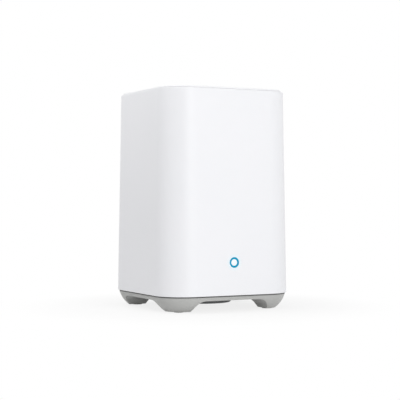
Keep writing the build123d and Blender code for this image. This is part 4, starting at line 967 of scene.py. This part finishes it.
def make_lid(material):
    """The white lid: a slightly crowned plate with a round edge, and a skirt with four catches.

    The crown is a parabola: height falls with the square of the share of the way to the edge."""
    top, seat = lid_high.z, sleeve_top - LID_SEAT_DEPTH
    edge = outer_radius(top) - LID_LIP - LID_GAP
    reach = edge - LID_EDGE
    share = np.linspace(0, 1, WALL_STEPS // 2)
    crown = np.stack([share, share * reach, top - LID_CROWN * share**2], axis=-1)
    rim = arc((reach, top - LID_CROWN - LID_EDGE), LID_EDGE, 90, 0)[1:]
    skirt = outer_radius(seat) - SLEEVE_WALL - LID_GAP
    low = lid_low.z
    slim = outer_radius(low) - SLEEVE_WALL - LID_GAP
    under = top - LID_PLATE
    line_low, line_high = sleeve_top - LID_LINE_HEIGHT, sleeve_top + LID_LINE_HEIGHT
    sides = np.array([
        (edge, line_high),
        (edge - LID_LINE_DEPTH, line_high),
        (edge - LID_LINE_DEPTH, line_low),
        (edge, line_low),
        (outer_radius(seat) - LID_LIP - LID_GAP, seat),
        (skirt, seat),
        (slim, low),
        (slim - LID_SKIRT_WALL, low),
        (outer_radius(under) - SLEEVE_WALL - LID_GAP - LID_SKIRT_WALL, under),
    ])
    outer = np.concatenate([rim, sides])
    body = np.column_stack([np.ones(len(outer)), outer])
    inwards = share[-2::-1]
    back = np.stack([inwards, inwards * sides[-1, 0], np.full(len(inwards), under)], axis=-1)
    profile = np.concatenate([crown, body, back])
    lid = square_shell("lid", profile[:, 0], profile[:, 1], profile[:, 2], False, material)
    combine(lid, catches(SLEEVE_WALL + LID_GAP, 0.0), "UNION")
    tidy_mesh(lid)
    smooth(lid)
    settle(lid, "top_cap")


# The ring light

def make_ring_light(band_material, core_material):
    """The band of light and the opal disc inside it, both a little crowned."""
    outer, inner = LIGHT_RADIUS, LIGHT_RADIUS - LIGHT_BAND
    middle = (outer + inner) / 2
    share = np.linspace(1, -1, 2 * EDGE_STEPS + 1)
    face = np.stack([middle + share * LIGHT_BAND / 2, -LIGHT_CROWN * share**2], axis=-1)
    back = -(SLEEVE_WALL + LIGHT_FLANGE)
    rest = np.array([
        (inner, back),
        (LIGHT_FLANGE_RADIUS, back),
        (LIGHT_FLANGE_RADIUS, -SLEEVE_WALL),
        (outer, -SLEEVE_WALL),
    ])
    band = turned("light_band", np.concatenate([face, rest]), True, light_matrix, band_material)
    smooth(band)
    settle(band, "status_light_guide")
    reach = inner - LIGHT_GAP
    share = np.linspace(0, 1, EDGE_STEPS + 1)
    front = np.stack([share * reach, -LIGHT_CENTRE_RECESS - LIGHT_CROWN * share**2], axis=-1)
    profile = np.concatenate([front, [(reach, back), (0.0, back)]])
    disc = turned("light_centre", profile, False, light_matrix, core_material)
    smooth(disc)
    settle(disc, "status_light_core")


# The pads

def make_pads(material):
    """Four rubber pads as one piece: a round edge below and ring grooves like a cosine wave."""
    low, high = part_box("foot_pads")
    tall = high.z - low.z
    reach = PAD_RADIUS - PAD_EDGE
    share = np.linspace(0, 1, GROOVE_STEPS * PAD_GROOVES + 1)
    wave = 0.5 - 0.5 * np.cos(2 * np.pi * PAD_GROOVES * share)
    tread = np.stack([share * reach, PAD_GROOVE_DEPTH * wave], axis=-1)
    edge = arc((reach, PAD_EDGE), PAD_EDGE, -90, 0)[1:]
    profile = np.concatenate([tread, edge, [(PAD_RADIUS, tall), (0.0, tall)]])
    parts = []
    for sx, sy in CORNERS:
        x, y = sx * (high.x - PAD_RADIUS), sy * (high.y - PAD_RADIUS)
        place = Matrix.Translation((x, y, low.z))
        parts.append(turned("pad", profile, False, place, material))
    pads = together("rubber_pads", parts, material)
    smooth(pads)
    settle(pads, "foot_pads")


# The floor, the backdrop and the lamps

def floor_material():
    """Matte white paper: it takes the shadow, and to the eye it fades to plain white further out."""
    material, tree, output, place = new_material("paper_white_floor")
    paper = add(tree, "BsdfDiffuse", {"Color": linear("#F2F2F2")})
    glow = add(tree, "Emission", {"Color": (1.0, 1.0, 1.0, 1.0), "Strength": 1.0})
    away = add(tree, "VectorMath", {0: place}, operation="LENGTH")
    fade = add(
        tree, "MapRange",
        {
            "Value": away.outputs["Value"],
            "From Min": FADE_START,
            "From Max": FADE_END,
            "To Min": FADE_LEAST,
            "To Max": 1.0,
        },
        interpolation_type="SMOOTHSTEP",
    )
    seen = seen_directly(tree)
    amount = add(tree, "Math", {0: fade.outputs["Result"], 1: seen}, operation="MULTIPLY")
    mix = add(
        tree, "MixShader",
        {0: amount.outputs["Value"], 1: paper.outputs["BSDF"], 2: glow.outputs["Emission"]},
    )
    tree.links.new(mix.outputs["Shader"], output.inputs["Surface"])
    return material


def seen_directly(tree):
    """1 for rays of the camera and for those seen in gloss or through glass, else 0."""
    path = add(tree, "LightPath")
    either = add(
        tree, "Math",
        {0: path.outputs["Is Camera Ray"], 1: path.outputs["Is Glossy Ray"]},
        operation="MAXIMUM",
    )
    any_of = add(
        tree, "Math",
        {0: either.outputs["Value"], 1: path.outputs["Is Transmission Ray"]},
        operation="MAXIMUM",
    )
    return any_of.outputs["Value"]


def make_floor():
    """A round sheet of paper under the object, as rings of quads."""
    share = np.linspace(0, 1, FLOOR_RINGS) ** 2
    profile = np.stack([share * FLOOR_RADIUS, np.zeros(len(share))], axis=-1)
    floor = turned("floor", profile, False, Matrix.Identity(4), floor_material())
    if floor.data.polygons[0].normal.z < 0:
        floor.data.flip_normals()


def make_world(strength):
    """An even white surround: at strength 1 where it is seen, and dimmer as light."""
    world = bpy.data.worlds.new("studio")
    world.use_nodes = True
    tree = world.node_tree
    tree.nodes.clear()
    output = add(tree, "OutputWorld")
    seen = seen_directly(tree)
    level = add(tree, "MapRange", {"Value": seen, "To Min": strength, "To Max": 1.0})
    sky = add(tree, "Background", {"Color": (1.0, 1.0, 1.0, 1.0), "Strength": level.outputs["Result"]})
    tree.links.new(sky.outputs["Background"], output.inputs["Surface"])
    bpy.context.scene.world = world


def make_lamp(name, place, target, size, power):
    """A square soft lamp aimed at a point."""
    data = bpy.data.lights.new(name, "AREA")
    data.shape = "SQUARE"
    data.size = size
    data.energy = power
    lamp = bpy.data.objects.new(name, data)
    lamp.location = place
    lamp.rotation_mode = "QUATERNION"
    lamp.rotation_quaternion = (Vector(target) - Vector(place)).to_track_quat("-Z", "Y")
    bpy.context.scene.collection.objects.link(lamp)


def make_studio():
    """Light from all round, more of it from the front, and a small lamp for the left wall's top."""
    make_world(SURROUND_LEVEL)
    middle = (0.0, 0.0, (cad_low.z + cad_high.z) / 2)
    make_lamp("key", KEY_PLACE, middle, KEY_SIZE, KEY_POWER)
    make_lamp("left", LEFT_PLACE, LEFT_TARGET, LEFT_SIZE, LEFT_POWER)
    make_floor()
    bpy.context.scene.view_settings.view_transform = "Standard"


# Finishes for the CAD pieces that keep their own meshes

FINISHES = {
    zinc_steel: ("base_screws", "panel_screws", "light_board_screws", "board_screws", "chassis_screws",
                 "siren_screws"),
    tin_sheet: ("microsd_socket", "ethernet_shell", "usb_shell", "radio_shields", "battery_contacts"),
    gold_plate: ("ethernet_contacts", "usb_contacts", "power_jack_pin"),
    aerial_film: ("antennas",),
    black_nylon: ("ethernet_insert", "usb_tongue", "power_jack", "sync_switch", "reset_switch"),
    white_nylon: ("lead_sockets",),
    lamp_epoxy: ("ethernet_lights",),
    emitter_epoxy: ("light_emitters",),
    solder_mask: ("light_board", "main_board"),
    chip_epoxy: ("processor", "memory_chips", "ethernet_transformer", "power_parts"),
    card_epoxy: ("microsd_card",),
    chassis_abs: ("chassis", "siren_frame", "siren_clamp", "battery_cradle", "sync_switch_plunger",
                  "reset_switch_plunger"),
    gap_filler: ("thermal_pad",),
    foam: ("siren_gasket",),
    cone_film: ("siren_cone",),
    cell_sleeve: ("battery_cell",),
    woven_strap: ("battery_straps",),
    lead_pvc: ("light_lead", "siren_lead", "battery_leads", "antenna_leads"),
    copper_wire: ("siren_coil",),
    sink_aluminium: ("heat_sink",),
    magnet_nickel: ("siren_magnet", "siren_pole", "siren_yoke"),
}


def finish_nodes():
    """Gives each CAD node that keeps its own mesh the material of its real stuff."""
    for make, nodes in FINISHES.items():
        material = make()
        for node in nodes:
            mesh = frame["nodes"][node].data
            mesh.materials.clear()
            mesh.materials.append(material)


# The new surfaces, the smooth copies of CAD pieces, the other pieces' finishes and the studio

make_sleeve(white_abs())
make_lid(lid_abs())
make_ring_light(lit_diffuser(), core_acrylic())
make_pads(pad_rubber())
dressed("base", "base_moulding", grey_abs())
dressed("port_panel", "socket_panel", panel_abs())
dressed("siren_cover", "siren_cup", siren_abs())
dressed("sync_button", "sync_key", button_abs())
finish_nodes()
bpy.data.materials.remove(cutter_material)
make_studio()
